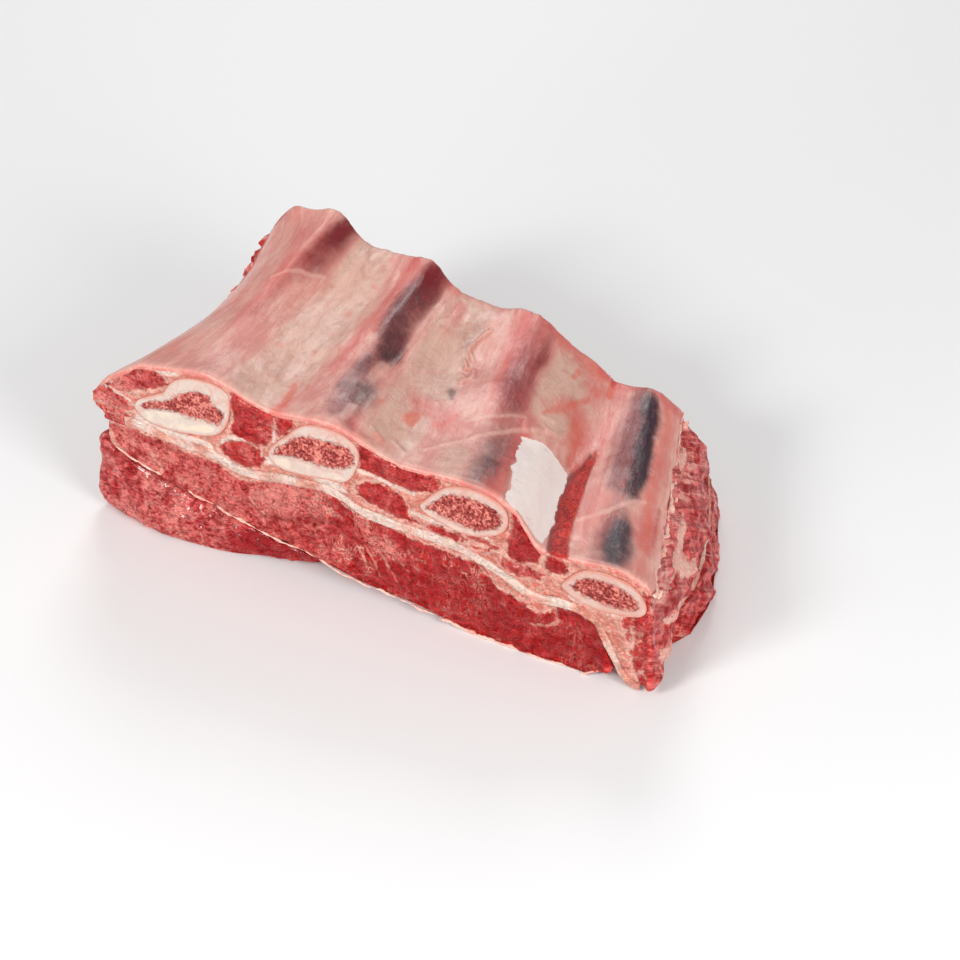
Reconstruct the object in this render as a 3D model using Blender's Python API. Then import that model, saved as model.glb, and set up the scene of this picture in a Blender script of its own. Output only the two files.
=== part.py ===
"""A raw slab of beef short ribs: four rib bones in their meat, lying with the bone side up.

The slab is cut square across the ribs. Its near cut shows the four bone ends, the meat between
the ribs, the seam of fat under them, the thick plate muscle and a second muscle below that.

Every layer is drawn on the near cut and carried back along the ribs. A place in the slab is
(u, v, z): u runs along the near cut to the right, v goes from 0 at the near cut to 1 at the far
cut, and z is the height above the table. The ribs fan out, so the far cut is narrower than the
near one. Lengths are in metres.
"""

import math

import bmesh
import bpy
import numpy as np

# The cut from front to back, and how the ribs close up towards the far cut.
DEPTH = 0.105
FAN_CLOSING = 0.20
FAN_LEAN = 0.013
WAIST = 0.0085
WAIST_FROM_U = -0.060
WAIST_OVER = 0.030
CENTRE_SHIFT_X = -0.00124
CENTRE_SHIFT_Y = 0.00313

# Between neighbouring layers, and round each bone and core.
GAP = 0.0006
BONE_GAP = 0.0003

# Heights of the bone side over the ribs (crests) and between them (valleys): (u, z).
ROOF_FRONT = (
    (-0.111, 0.0500), (-0.104, 0.0590), (-0.096, 0.0660), (-0.087, 0.0725), (-0.060, 0.0770),
    (-0.036, 0.0715), (-0.012, 0.0745), (0.017, 0.0660), (0.045, 0.0680), (0.059, 0.0640),
    (0.071, 0.0505), (0.096, 0.0520), (0.109, 0.0480), (0.114, 0.0440),
)
ROOF_BACK = (
    (-0.111, 0.0540), (-0.104, 0.0640), (-0.097, 0.0730), (-0.088, 0.0790), (-0.070, 0.0825),
    (-0.053, 0.0715), (-0.038, 0.0690), (-0.018, 0.0715), (-0.007, 0.0635), (0.015, 0.0612),
    (0.036, 0.0615), (0.056, 0.0530), (0.080, 0.0435), (0.096, 0.0455), (0.114, 0.0390),
)
ROOF_SAG = 0.003

# Middle of the fat seam under the ribs. At the near right corner it turns down to the table.
SEAM = (
    (-0.112, 0.0435), (-0.101, 0.0425), (-0.092, 0.0445), (-0.078, 0.0425), (-0.060, 0.0420),
    (-0.048, 0.0385), (-0.030, 0.0425), (-0.014, 0.0445), (0.005, 0.0385), (0.038, 0.0375),
    (0.056, 0.0325), (0.070, 0.0285), (0.080, 0.0300), (0.092, 0.0270), (0.135, 0.0190),
)
SEAM_THICKNESS = 0.0030
SEAM_LIFT_BACK = (
    (-0.110, 0.0080), (-0.073, 0.0090), (-0.021, 0.0008), (0.036, -0.0025), (0.095, -0.0065),
    (0.135, -0.0070),
)
FLAP_FROM_U = 0.089
FLAP_TO_U = 0.106
FLAP_DROP = 0.0225
FLAP_LENGTH_V = 0.35
FLAP_CLEARANCE = 0.0018

# Underside of the plate muscle: it drapes over the under muscle and reaches the table past it.
FOLD_FRONT = (
    (-0.108, 0.0340), (-0.100, 0.0290), (-0.080, 0.0230), (-0.060, 0.0180), (-0.040, 0.0135),
    (-0.020, 0.0100), (0.000, 0.0055), (0.025, 0.0035), (0.045, 0.0), (0.086, 0.0), (0.098, 0.0060),
)
FOLD_BACK = (
    (-0.108, 0.0340), (-0.100, 0.0300), (-0.080, 0.0250), (-0.060, 0.0200), (-0.040, 0.0150),
    (-0.025, 0.0105), (-0.013, 0.0040), (-0.004, 0.0), (0.086, 0.0), (0.098, 0.0),
)
FRONT_LIFT_V = 0.14
UNDER_FLOOR_FRONT = (
    (-0.120, 0.0), (-0.052, 0.0), (-0.040, 0.0015), (-0.028, 0.0040), (-0.016, 0.0075),
)
UNDER_THINNEST = 0.0015

# How far the under muscle bellies out in front of the near cut: (u, distance).
BELLY = (
    (-0.1115, 0.0010), (-0.098, 0.0045), (-0.084, 0.0064), (-0.074, 0.0066), (-0.058, 0.0050),
    (-0.042, 0.0015), (-0.030, 0.0),
)
BELLY_LENGTH_V = 0.16

# Left and right ends of the layers, and how the right end swells out below the bone side: (v, u).
RIB_MEAT_LEFT = -0.1095
SEAM_LEFT = -0.1055
PLATE_LEFT = -0.1045
UNDER_LEFT = -0.1115
UNDER_RIGHT = -0.0165
UNDER_RIGHT_BACK = -0.0200
RIGHT_TOP = 0.112
RIGHT_SWELL = (
    (0.0, 0.0010), (0.15, 0.0075), (0.30, 0.0130), (0.50, 0.0205), (0.75, 0.0225), (1.0, 0.0200),
)
RIGHT_SWELL_POWER = 1.7
PLATE_RIGHT_FRONT = 0.0970
SEAM_RIGHT_FRONT = 0.1040
SEAM_TUCK_RIGHT = 0.001

# The mesh's lines along u in the middle of every layer, and across v. Past them, the lines that
# round a layer's ends stretch out to its walls over this many end radii.
FIRST_LINE = -0.100
LAST_LINE = 0.090
UNDER_LAST_LINE = -0.030
LINE_STEP = 0.005
WALL_ZONE = 2.6
STATIONS_V = 10
CUT_EDGE_RADIUS = 0.0010

# Usual thickness, radii that round the ends (along u, up) and rows of faces up the side.
LAYERS = {
    "rib_meat": (0.028, (0.0040, 0.0040), 3),
    "fat_seam": (0.0026, (0.0010, 0.0008), 1),
    "plate_muscle": (0.022, (0.0035, 0.0040), 2),
    "under_muscle": (0.022, (0.0050, 0.0050), 2),
}

# Low lumps of the raw surface.
LUMP_HEIGHT = 0.0005
LUMP_WAVES = ((61.0, 37.0, 0.4), (113.0, -71.0, 1.9), (-89.0, 127.0, 4.1))

# Rib bones at the near cut and at the far cut: middle (u, z), half width, half height, turn in
# degrees, and how much higher the oval is towards its right.
BONES = (
    ((-0.0710, 0.0605, 0.0208, 0.0112, 12.0, 0.40), (-0.0755, 0.0690, 0.0180, 0.0100, -6.0, 0.10)),
    ((-0.0180, 0.0590, 0.0193, 0.0106, 12.0, 0.32), (-0.0235, 0.0578, 0.0165, 0.0098, -5.0, 0.05)),
    ((0.0415, 0.0553, 0.0172, 0.0092, 5.0, 0.22), (0.0310, 0.0500, 0.0160, 0.0088, -5.0, 0.05)),
    ((0.0940, 0.0405, 0.0155, 0.0078, 1.0, 0.12), (0.0950, 0.0345, 0.0150, 0.0076, -2.0, 0.10)),
)
CORES = (
    ((-0.0693, 0.0618, 0.0168, 0.0058, 17.0, 0.42), (-0.0755, 0.0690, 0.0145, 0.0062, -6.0, 0.10)),
    ((-0.0177, 0.0606, 0.0155, 0.0062, 14.0, 0.34), (-0.0235, 0.0578, 0.0132, 0.0060, -5.0, 0.05)),
    ((0.0412, 0.0556, 0.0140, 0.0060, 5.0, 0.24), (0.0310, 0.0500, 0.0128, 0.0055, -5.0, 0.05)),
    ((0.0940, 0.0404, 0.0122, 0.0048, 0.0, 0.14), (0.0950, 0.0345, 0.0118, 0.0046, -2.0, 0.10)),
)
BONE_SIDES = 20
BONE_STATIONS = 6
CUTTER_REACH_V = 0.08

# Colour, roughness.
FINISHES = {
    "rib_meat": ((0.62, 0.16, 0.15), 0.35),
    "fat_seam": ((0.86, 0.62, 0.52), 0.45),
    "plate_muscle": ((0.55, 0.08, 0.09), 0.38),
    "under_muscle": ((0.52, 0.09, 0.10), 0.38),
    "rib_bone": ((0.86, 0.77, 0.66), 0.50),
    "bone_core": ((0.50, 0.16, 0.13), 0.60),
}


def smooth_step(t):
    """Eases from 0 to 1 as t goes from 0 to 1."""
    t = np.clip(t, 0.0, 1.0)
    return t * t * (3.0 - 2.0 * t)


def through(points, x):
    """A smooth curve through the points, level at each crest and valley and straight past its ends."""
    xs, ys = np.array(points).T
    steps = np.diff(xs)
    slopes = np.diff(ys) / steps
    before, after = slopes[:-1], slopes[1:]
    inner = np.where(before * after > 0, 2 * before * after / (before + after + 1e-12), 0.0)
    tangents = np.concatenate([slopes[:1], inner, slopes[-1:]])
    x = np.clip(x, xs[0], xs[-1])
    i = np.clip(np.searchsorted(xs, x, side="right") - 1, 0, len(steps) - 1)
    t = (x - xs[i]) / steps[i]
    start = (1 + 2 * t) * (1 - t) ** 2 * ys[i] + t * (1 - t) ** 2 * steps[i] * tangents[i]
    end = t * t * (3 - 2 * t) * ys[i + 1] + t * t * (t - 1) * steps[i] * tangents[i + 1]
    return start + end


def mix(a, b, t):
    return a + (b - a) * t


def lumps(u, v):
    """Shallow waves over the raw surface, which move neighbouring layers together."""
    return LUMP_HEIGHT * sum(np.sin(a * u + b * v * DEPTH + c) for a, b, c in LUMP_WAVES)


def sag(v):
    """How far the hollow of the rib cage dips between the two cuts."""
    return ROOF_SAG * np.sin(np.pi * np.clip(v, 0, 1))


def roof(u, v):
    """Height of the bone side."""
    flat = mix(through(ROOF_FRONT, u), through(ROOF_BACK, u), v)
    return flat - sag(v) + lumps(u, v)


def flap(u, v):
    """How far the seam has turned down towards the table, from 0 to 1, at the near right corner."""
    return smooth_step((u - FLAP_FROM_U) / (FLAP_TO_U - FLAP_FROM_U)) * (1 - smooth_step(v / FLAP_LENGTH_V))


def seam(u, v):
    """Height of the middle of the fat seam."""
    lifted = through(SEAM, u) + through(SEAM_LIFT_BACK, u) * v - sag(v)
    return lifted - FLAP_DROP * flap(u, v) + lumps(u, v)


def seam_side(u, v):
    """Height from the middle of the fat seam to the meat on either side of it."""
    steep = 4 * flap(u, v) * (1 - flap(u, v))
    return SEAM_THICKNESS / 2 + GAP / 2 + FLAP_CLEARANCE * steep


def fold(u, v):
    """Height of the plate muscle's underside."""
    return mix(through(FOLD_FRONT, u), through(FOLD_BACK, u), smooth_step(v / FRONT_LIFT_V))


def right_wall(z, v):
    """Where the right end is at a height: it swells out from the bone side down to the table."""
    share = np.clip(z / roof(RIGHT_TOP, v), 0.0, 1.0)
    return RIGHT_TOP + through(RIGHT_SWELL, v) * (1 - share**RIGHT_SWELL_POWER)


def placed(u, v, z):
    """The point of the slab at (u, v, z), as x, y, z."""
    waist = WAIST * np.sin(np.pi * np.clip(v, 0, 1)) * smooth_step((WAIST_FROM_U - u) / WAIST_OVER)
    x = u * (1 - FAN_CLOSING * v) - FAN_LEAN * v + waist + CENTRE_SHIFT_X
    y = DEPTH * (v - 0.5) + CENTRE_SHIFT_Y
    return np.stack([x, y + 0 * x, z + 0 * x], axis=-1)


def edge_lines(radius, count):
    """Distances from an edge at which lines round it off evenly."""
    turns = np.radians(np.linspace(45.0, 0.0, count + 1))
    return radius * (1 - np.tan(turns))


def lines_between(size, radius, at_edge, inside):
    """Lines across a box of this size: some round each edge, and evenly spaced ones between."""
    near = edge_lines(radius, at_edge)
    middle = np.linspace(radius, size - radius, inside + 1)[1:-1]
    return np.concatenate([near, middle, size - near[::-1]])


def box_surface(counts):
    """Lattice numbers (i, j, k) of the points on a box's surface, and its four-sided faces."""
    ni, nj, nk = (count - 1 for count in counts)
    number = -np.ones(counts, int)
    i, j, k = np.indices(counts)
    outside = (i == 0) | (i == ni) | (j == 0) | (j == nj) | (k == 0) | (k == nk)
    number[outside] = np.arange(outside.sum())
    faces = []
    for grid, flip in (
        (number[0], False), (number[ni], True),
        (number[:, 0], True), (number[:, nj], False),
        (number[:, :, 0], False), (number[:, :, nk], True),
    ):
        corners = [grid[:-1, :-1], grid[:-1, 1:], grid[1:, 1:], grid[1:, :-1]]
        quads = np.stack([corner.ravel() for corner in corners], axis=1)
        faces.append(quads[:, ::-1] if flip else quads)
    return np.stack([i[outside], j[outside], k[outside]], axis=1), np.concatenate(faces)


def rounded(p, size, radii):
    """Moves a box's surface points onto the same box with its edges rounded by the radii."""
    inner = np.clip(p, radii, size - radii)
    offset = (p - inner) / radii
    length = np.linalg.norm(offset, axis=1, keepdims=True)
    return inner + offset / np.maximum(length, 1e-9) * radii


def add_object(name, points, faces, finish):
    """An object from points and faces, smooth on its round parts, with its own material."""
    mesh = bpy.data.meshes.new(name)
    mesh.from_pydata([tuple(p) for p in points], [], [tuple(f) for f in faces])
    bm = bmesh.new()
    bm.from_mesh(mesh)
    bmesh.ops.recalc_face_normals(bm, faces=bm.faces)
    bmesh.ops.triangulate(bm, faces=bm.faces)
    bm.to_mesh(mesh)
    bm.free()
    mesh.shade_smooth()
    mesh.set_sharp_from_angle(angle=math.radians(50))
    mesh.materials.append(material_of(name, finish))
    obj = bpy.data.objects.new(name, mesh)
    bpy.context.scene.collection.objects.link(obj)
    return obj


def material_of(name, finish):
    """A Principled material with the colour and roughness of that finish."""
    colour, roughness = FINISHES[finish]
    material = bpy.data.materials.new(name)
    material.use_nodes = True
    shader = material.node_tree.nodes["Principled BSDF"]
    shader.inputs["Base Color"].default_value = (*colour, 1.0)
    shader.inputs["Roughness"].default_value = roughness
    shader.inputs["Metallic"].default_value = 0.0
    return material


def layer(name, walls, floor, top, last_line=LAST_LINE, belly=None):
    """One layer of the slab between a floor and a top surface and its left and right walls.

    In the middle its lines stay on the slab's own lines along u, so that neighbouring layers
    run parallel. The first and last few lines stretch out to the walls. The belly is how far the
    layer stands out in front of the near cut.
    """
    thick, end_radii, rows = LAYERS[name]
    radii = (end_radii[0], CUT_EDGE_RADIUS, end_radii[1])
    lines = np.arange(FIRST_LINE, last_line + 1e-6, LINE_STEP)
    zone = WALL_ZONE * radii[0]
    width = zone + (lines[-1] - lines[0]) + zone
    near = edge_lines(radii[0], 2)
    across = np.concatenate([near, zone + lines - lines[0], width - near[::-1]])
    along = lines_between(DEPTH, radii[1], 1, STATIONS_V)
    up = lines_between(thick, radii[2], 1, rows)
    lattice, faces = box_surface((len(across), len(along), len(up)))
    box = np.stack([across[lattice[:, 0]], along[lattice[:, 1]], up[lattice[:, 2]]], axis=1)
    size = np.array([width, DEPTH, thick])
    p = rounded(box, size, np.array(radii))
    v, w = p[:, 1] / DEPTH, p[:, 2] / thick
    left, right = walls(v, w)
    u = lines[0] + p[:, 0] - zone
    u = np.where(p[:, 0] < zone, mix(left, lines[0], p[:, 0] / zone), u)
    past = (p[:, 0] - (width - zone)) / zone
    u = np.where(past > 0, mix(lines[-1], right, past), u)
    points = placed(u, v, mix(floor(u, v), top(u, v), w))
    if belly:
        points[:, 1] -= belly(u, w) * (1 - smooth_step(v / BELLY_LENGTH_V))
    return add_object(name, points, faces, name)


def egg(ends, v, grow, sides):
    """Outline of a bone at v: an oval, higher towards its right, turned, and grown all round."""
    along = np.clip(v, 0, 1)
    u, z, half_width, half_height, turn, egg_shape = mix(*np.array(ends), along)
    z = z - sag(along) + lumps(u, along) - lumps(u, 0.0)
    angles = np.linspace(0, 2 * np.pi, sides, endpoint=False)
    across = (half_width + grow) * np.cos(angles)
    up = (half_height + grow) * np.sin(angles) * (1 + egg_shape * np.cos(angles))
    turned = np.radians(turn)
    return (
        u + across * np.cos(turned) - up * np.sin(turned),
        z + across * np.sin(turned) + up * np.cos(turned),
    )


def bar_along_rib(name, ends, grow, past_ends, finish):
    """A bar from cut to cut between the two outlines of a bone or core, which dips with the ribs."""
    stations = list(np.linspace(0, 1, BONE_STATIONS))
    if past_ends:
        stations = [-past_ends, *stations, 1 + past_ends]
    bm = bmesh.new()
    loops = []
    for v in stations:
        u, z = egg(ends, v, grow, BONE_SIDES)
        ring = [bm.verts.new(point) for point in placed(u, v, z)]
        loops.append([bm.edges.new((a, b)) for a, b in zip(ring, ring[1:] + ring[:1])])
        if v in (stations[0], stations[-1]):
            bm.faces.new(ring)
    for one, other in zip(loops, loops[1:]):
        bmesh.ops.bridge_loops(bm, edges=one + other)
    bm.verts.index_update()
    points = [vert.co[:] for vert in bm.verts]
    faces = [[vert.index for vert in face.verts] for face in bm.faces]
    bm.free()
    return add_object(name, points, faces, finish)


def cut_channel(obj, ends, label, gap):
    """Cuts the channel that a bar runs in, right through from cut to cut."""
    cutter = bar_along_rib(f"channel_{label}", ends, gap, CUTTER_REACH_V, "bone_core")
    cutter.hide_render = True
    cutter.display_type = "WIRE"
    boolean = obj.modifiers.new(f"channel_{label}", "BOOLEAN")
    boolean.operation = "DIFFERENCE"
    boolean.solver = "EXACT"
    boolean.object = cutter


def rib_meat():
    """The bone side with its skin, the meat between the ribs, and the flap at the near right corner."""

    def floor(u, v):
        return seam(u, v) + seam_side(u, v)

    def walls(v, w):
        z = mix(floor(RIGHT_TOP, v), roof(RIGHT_TOP, v), w)
        return RIB_MEAT_LEFT + 0 * v, right_wall(z, v)

    return layer("rib_meat", walls, floor, roof)


def fat_seam():
    """The sheet of fat between the ribs and the plate muscle."""
    half = SEAM_THICKNESS / 2 - GAP / 2

    def floor(u, v):
        return seam(u, v) - half

    def top(u, v):
        return seam(u, v) + half

    def walls(v, w):
        end = right_wall(seam(RIGHT_TOP, v), v) - SEAM_TUCK_RIGHT
        return SEAM_LEFT + 0 * w, mix(SEAM_RIGHT_FRONT, end, smooth_step(v / FLAP_LENGTH_V))

    return layer("fat_seam", walls, floor, top)


def plate_muscle():
    """The thick muscle under the fat seam. It drapes over the under muscle at the left."""

    def top(u, v):
        return seam(u, v) - seam_side(u, v)

    def walls(v, w):
        z = mix(fold(RIGHT_TOP, v), top(RIGHT_TOP, v), w)
        end = right_wall(z, v)
        return PLATE_LEFT + 0 * v, mix(PLATE_RIGHT_FRONT, end, smooth_step(v / FLAP_LENGTH_V))

    return layer("plate_muscle", walls, fold, top)


def under_muscle():
    """The muscle at the lower left, on which the slab's left half lies."""

    def floor(u, v):
        return through(UNDER_FLOOR_FRONT, u) * (1 - smooth_step(v / FRONT_LIFT_V))

    def top(u, v):
        return np.maximum(fold(u, v), floor(u, v) + UNDER_THINNEST) - GAP

    def walls(v, w):
        return UNDER_LEFT + 0 * v, mix(UNDER_RIGHT, UNDER_RIGHT_BACK, smooth_step(v / FRONT_LIFT_V))

    def belly(u, w):
        return through(BELLY, u) * (1 - w**2)

    return layer("under_muscle", walls, floor, top, UNDER_LAST_LINE, belly)


def clear_scene():
    for obj in list(bpy.data.objects):
        bpy.data.objects.remove(obj, do_unlink=True)


def main():
    clear_scene()
    meat = rib_meat()
    fat_seam()
    plate_muscle()
    under_muscle()
    for number, (bone, core) in enumerate(zip(BONES, CORES), start=1):
        cut_channel(meat, bone, f"bone_{number}", BONE_GAP)
        rib = bar_along_rib(f"rib_bone_{number}", bone, 0.0, 0.0, "rib_bone")
        cut_channel(rib, core, f"core_{number}", BONE_GAP)
        bar_along_rib(f"bone_core_{number}", core, 0.0, 0.0, "bone_core")


main()
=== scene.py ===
"""Looks for the raw beef rib slab: the meat, fat, membrane and bone over its packed layers.

A place in the slab is (u, v, z), as in the part's own source: u runs along the near cut to the
right, v goes from 0 at the near cut to 1 at the far cut, and z is the height above the table.
Surfaces are worked out as whole arrays over that space, and each carries attributes, such as how
lean or how bruised a place is, which its material turns into colour.
"""

import logging
from collections.abc import Callable
from dataclasses import dataclass, field

import bpy
import numpy as np
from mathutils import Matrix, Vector


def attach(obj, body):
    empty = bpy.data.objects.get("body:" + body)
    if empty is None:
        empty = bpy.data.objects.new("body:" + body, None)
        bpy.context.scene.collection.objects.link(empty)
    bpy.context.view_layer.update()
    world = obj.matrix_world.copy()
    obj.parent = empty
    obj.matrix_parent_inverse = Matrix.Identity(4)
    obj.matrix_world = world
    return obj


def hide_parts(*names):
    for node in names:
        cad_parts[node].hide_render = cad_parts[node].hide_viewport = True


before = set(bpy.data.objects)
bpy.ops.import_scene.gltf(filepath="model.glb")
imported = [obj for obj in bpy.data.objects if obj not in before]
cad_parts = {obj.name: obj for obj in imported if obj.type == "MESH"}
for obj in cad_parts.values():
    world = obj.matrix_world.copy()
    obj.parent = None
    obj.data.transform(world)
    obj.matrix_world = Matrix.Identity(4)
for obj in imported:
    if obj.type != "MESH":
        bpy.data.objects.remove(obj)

log = logging.getLogger("rib_slab")

Array = np.ndarray
Curve = tuple[tuple[float, float], ...]
Points = tuple[tuple[float, ...], ...]
Place = Callable[[Array, Array], Array]
Colour = tuple[float, float, float]

BODY = "root"
MM = 0.001

# Stands in for no distance yet, and keeps a division from being by 0.
FAR = 1e9
TINY = 1e-9

# Distances in mm that attributes hold: farther than any mark reaches, and deep in a muscle.
FAR_MM = 9.0
DEEP_MM = 4.0

# Turns in radians round a ray over which an outline's radius is averaged.
RAY_TURNS = (-0.1, -0.05, 0, 0.05, 0.1)


def smooth_step(t: Array | float) -> Array:
    """Eases from 0 to 1 as t goes from 0 to 1."""
    t = np.clip(t, 0.0, 1.0)
    return t * t * (3.0 - 2.0 * t)


def mix(a: Array | float, b: Array | float, t: Array | float) -> Array | float:
    """Goes straight from a to b as t goes from 0 to 1."""
    return a + (b - a) * t


def through(points: Curve, x: Array) -> Array:
    """A smooth curve through points: cubic pieces, level at each crest and valley.

    Args:
        points: The (x, y) points, from left to right.
        x: Where the curve is wanted.

    Returns:
        The curve's height at each x, held at its end values outside the points.
    """
    xs, ys = np.array(points).T
    steps = np.diff(xs)
    slopes = np.diff(ys) / steps
    before, after = slopes[:-1], slopes[1:]
    inner = np.where(before * after > 0, 2 * before * after / (before + after + 1e-12), 0.0)
    tangents = np.concatenate([slopes[:1], inner, slopes[-1:]])
    x = np.clip(x, xs[0], xs[-1])
    i = np.clip(np.searchsorted(xs, x, side="right") - 1, 0, len(steps) - 1)
    t = (x - xs[i]) / steps[i]
    start = (1 + 2 * t) * (1 - t) ** 2 * ys[i] + t * (1 - t) ** 2 * steps[i] * tangents[i]
    end = t * t * (3 - 2 * t) * ys[i + 1] + t * t * (t - 1) * steps[i] * tangents[i + 1]
    return start + end


def on_side(
    start: tuple[float, ...], end: tuple[float, ...], x: Array, y: Array
) -> tuple[Array, Array]:
    """Where a straight side comes closest to each place.

    Args:
        start: The side's first end as x, y and any numbers after them.
        end: Its other end.
        x: Places across.
        y: Places along.

    Returns:
        The closest point's share of the way from start to end, and its distance.
    """
    dx, dy = end[0] - start[0], end[1] - start[1]
    across, along = x - start[0], y - start[1]
    share = np.clip((across * dx + along * dy) / max(dx * dx + dy * dy, TINY), 0.0, 1.0)
    return share, np.hypot(across - share * dx, along - share * dy)


def line_distance(line: Points, x: Array, y: Array) -> Array:
    """Distance from each place to an open line, less the line's half width there.

    Args:
        line: Rows of (x, y, half width).
        x: Places across.
        y: Places along.

    Returns:
        The distances, less than 0 within the half width.
    """
    nearest = np.full(np.shape(x), FAR)
    for start, end in zip(line, line[1:]):
        share, away = on_side(start, end, x, y)
        nearest = np.minimum(nearest, away - mix(start[2], end[2], share))
    return nearest


def on_axis(values: Array, axis: int) -> Array:
    """Points on one axis, for noise that runs along a line.

    Args:
        values: Distances along the axis in millimetres.
        axis: 0 for across the ribs, and 1 for along them.

    Returns:
        Rows of x, y and z.
    """
    rows = np.zeros((len(values), 3))
    rows[:, axis] = values
    return rows


def linear(red: int, green: int, blue: int) -> Colour:
    """A screen colour as the linear colour that a shader takes, by the sRGB curve.

    Args:
        red: Red from 0 to 255.
        green: Green from 0 to 255.
        blue: Blue from 0 to 255.

    Returns:
        The three linear values.
    """
    values = np.array([red, green, blue]) / 255.0
    low, high = values / 12.92, ((values + 0.055) / 1.055) ** 2.4
    return tuple(float(c) for c in np.where(values <= 0.04045, low, high))


@dataclass(frozen=True)
class Grain:
    """Seeded value noise in space: random heights on a lattice, eased between its points."""

    seed: int

    def _height(self, lattice: Array) -> Array:
        """A random height for each lattice point, from a hash of its whole numbers and the seed.

        Args:
            lattice: Rows of three whole numbers.

        Returns:
            Heights from -1 to 1.
        """
        x, y, z = lattice.astype(np.int64).astype(np.uint32).T
        h = x * np.uint32(374761393) + y * np.uint32(668265263) + z * np.uint32(2246822519)
        h = h + np.uint32(self.seed * 7919)
        for shift, factor in ((13, 1274126177), (15, 2654435761)):
            h = (h ^ (h >> np.uint32(shift))) * np.uint32(factor)
        h = h ^ (h >> np.uint32(16))
        return h.astype(float) / 2147483647.5 - 1.0

    def _layer(self, points: Array) -> Array:
        """One octave: the eight lattice heights round each point, weighted by eased distance.

        Args:
            points: Places in lattice steps, as rows.

        Returns:
            Heights from -1 to 1.
        """
        low = np.floor(points)
        t = smooth_step(points - low)
        total = np.zeros(len(points))
        for corner in np.ndindex(2, 2, 2):
            weight = np.prod(np.where(np.array(corner) == 1, t, 1 - t), axis=1)
            total += weight * self._height(low + corner)
        return total

    def __call__(self, points: Array, size: float, octaves: int = 3) -> Array:
        """Sums octaves of noise, each half as high and half as wide as the one before.

        Args:
            points: Places in millimetres, as rows.
            size: Width of the largest lumps in millimetres.
            octaves: How many octaves.

        Returns:
            Heights of about -1 to 1.
        """
        total = np.zeros(len(points))
        for octave in range(octaves):
            total += self._layer(points * (2**octave / size) + 17.3 * octave) * 0.5**octave
        return total


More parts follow.
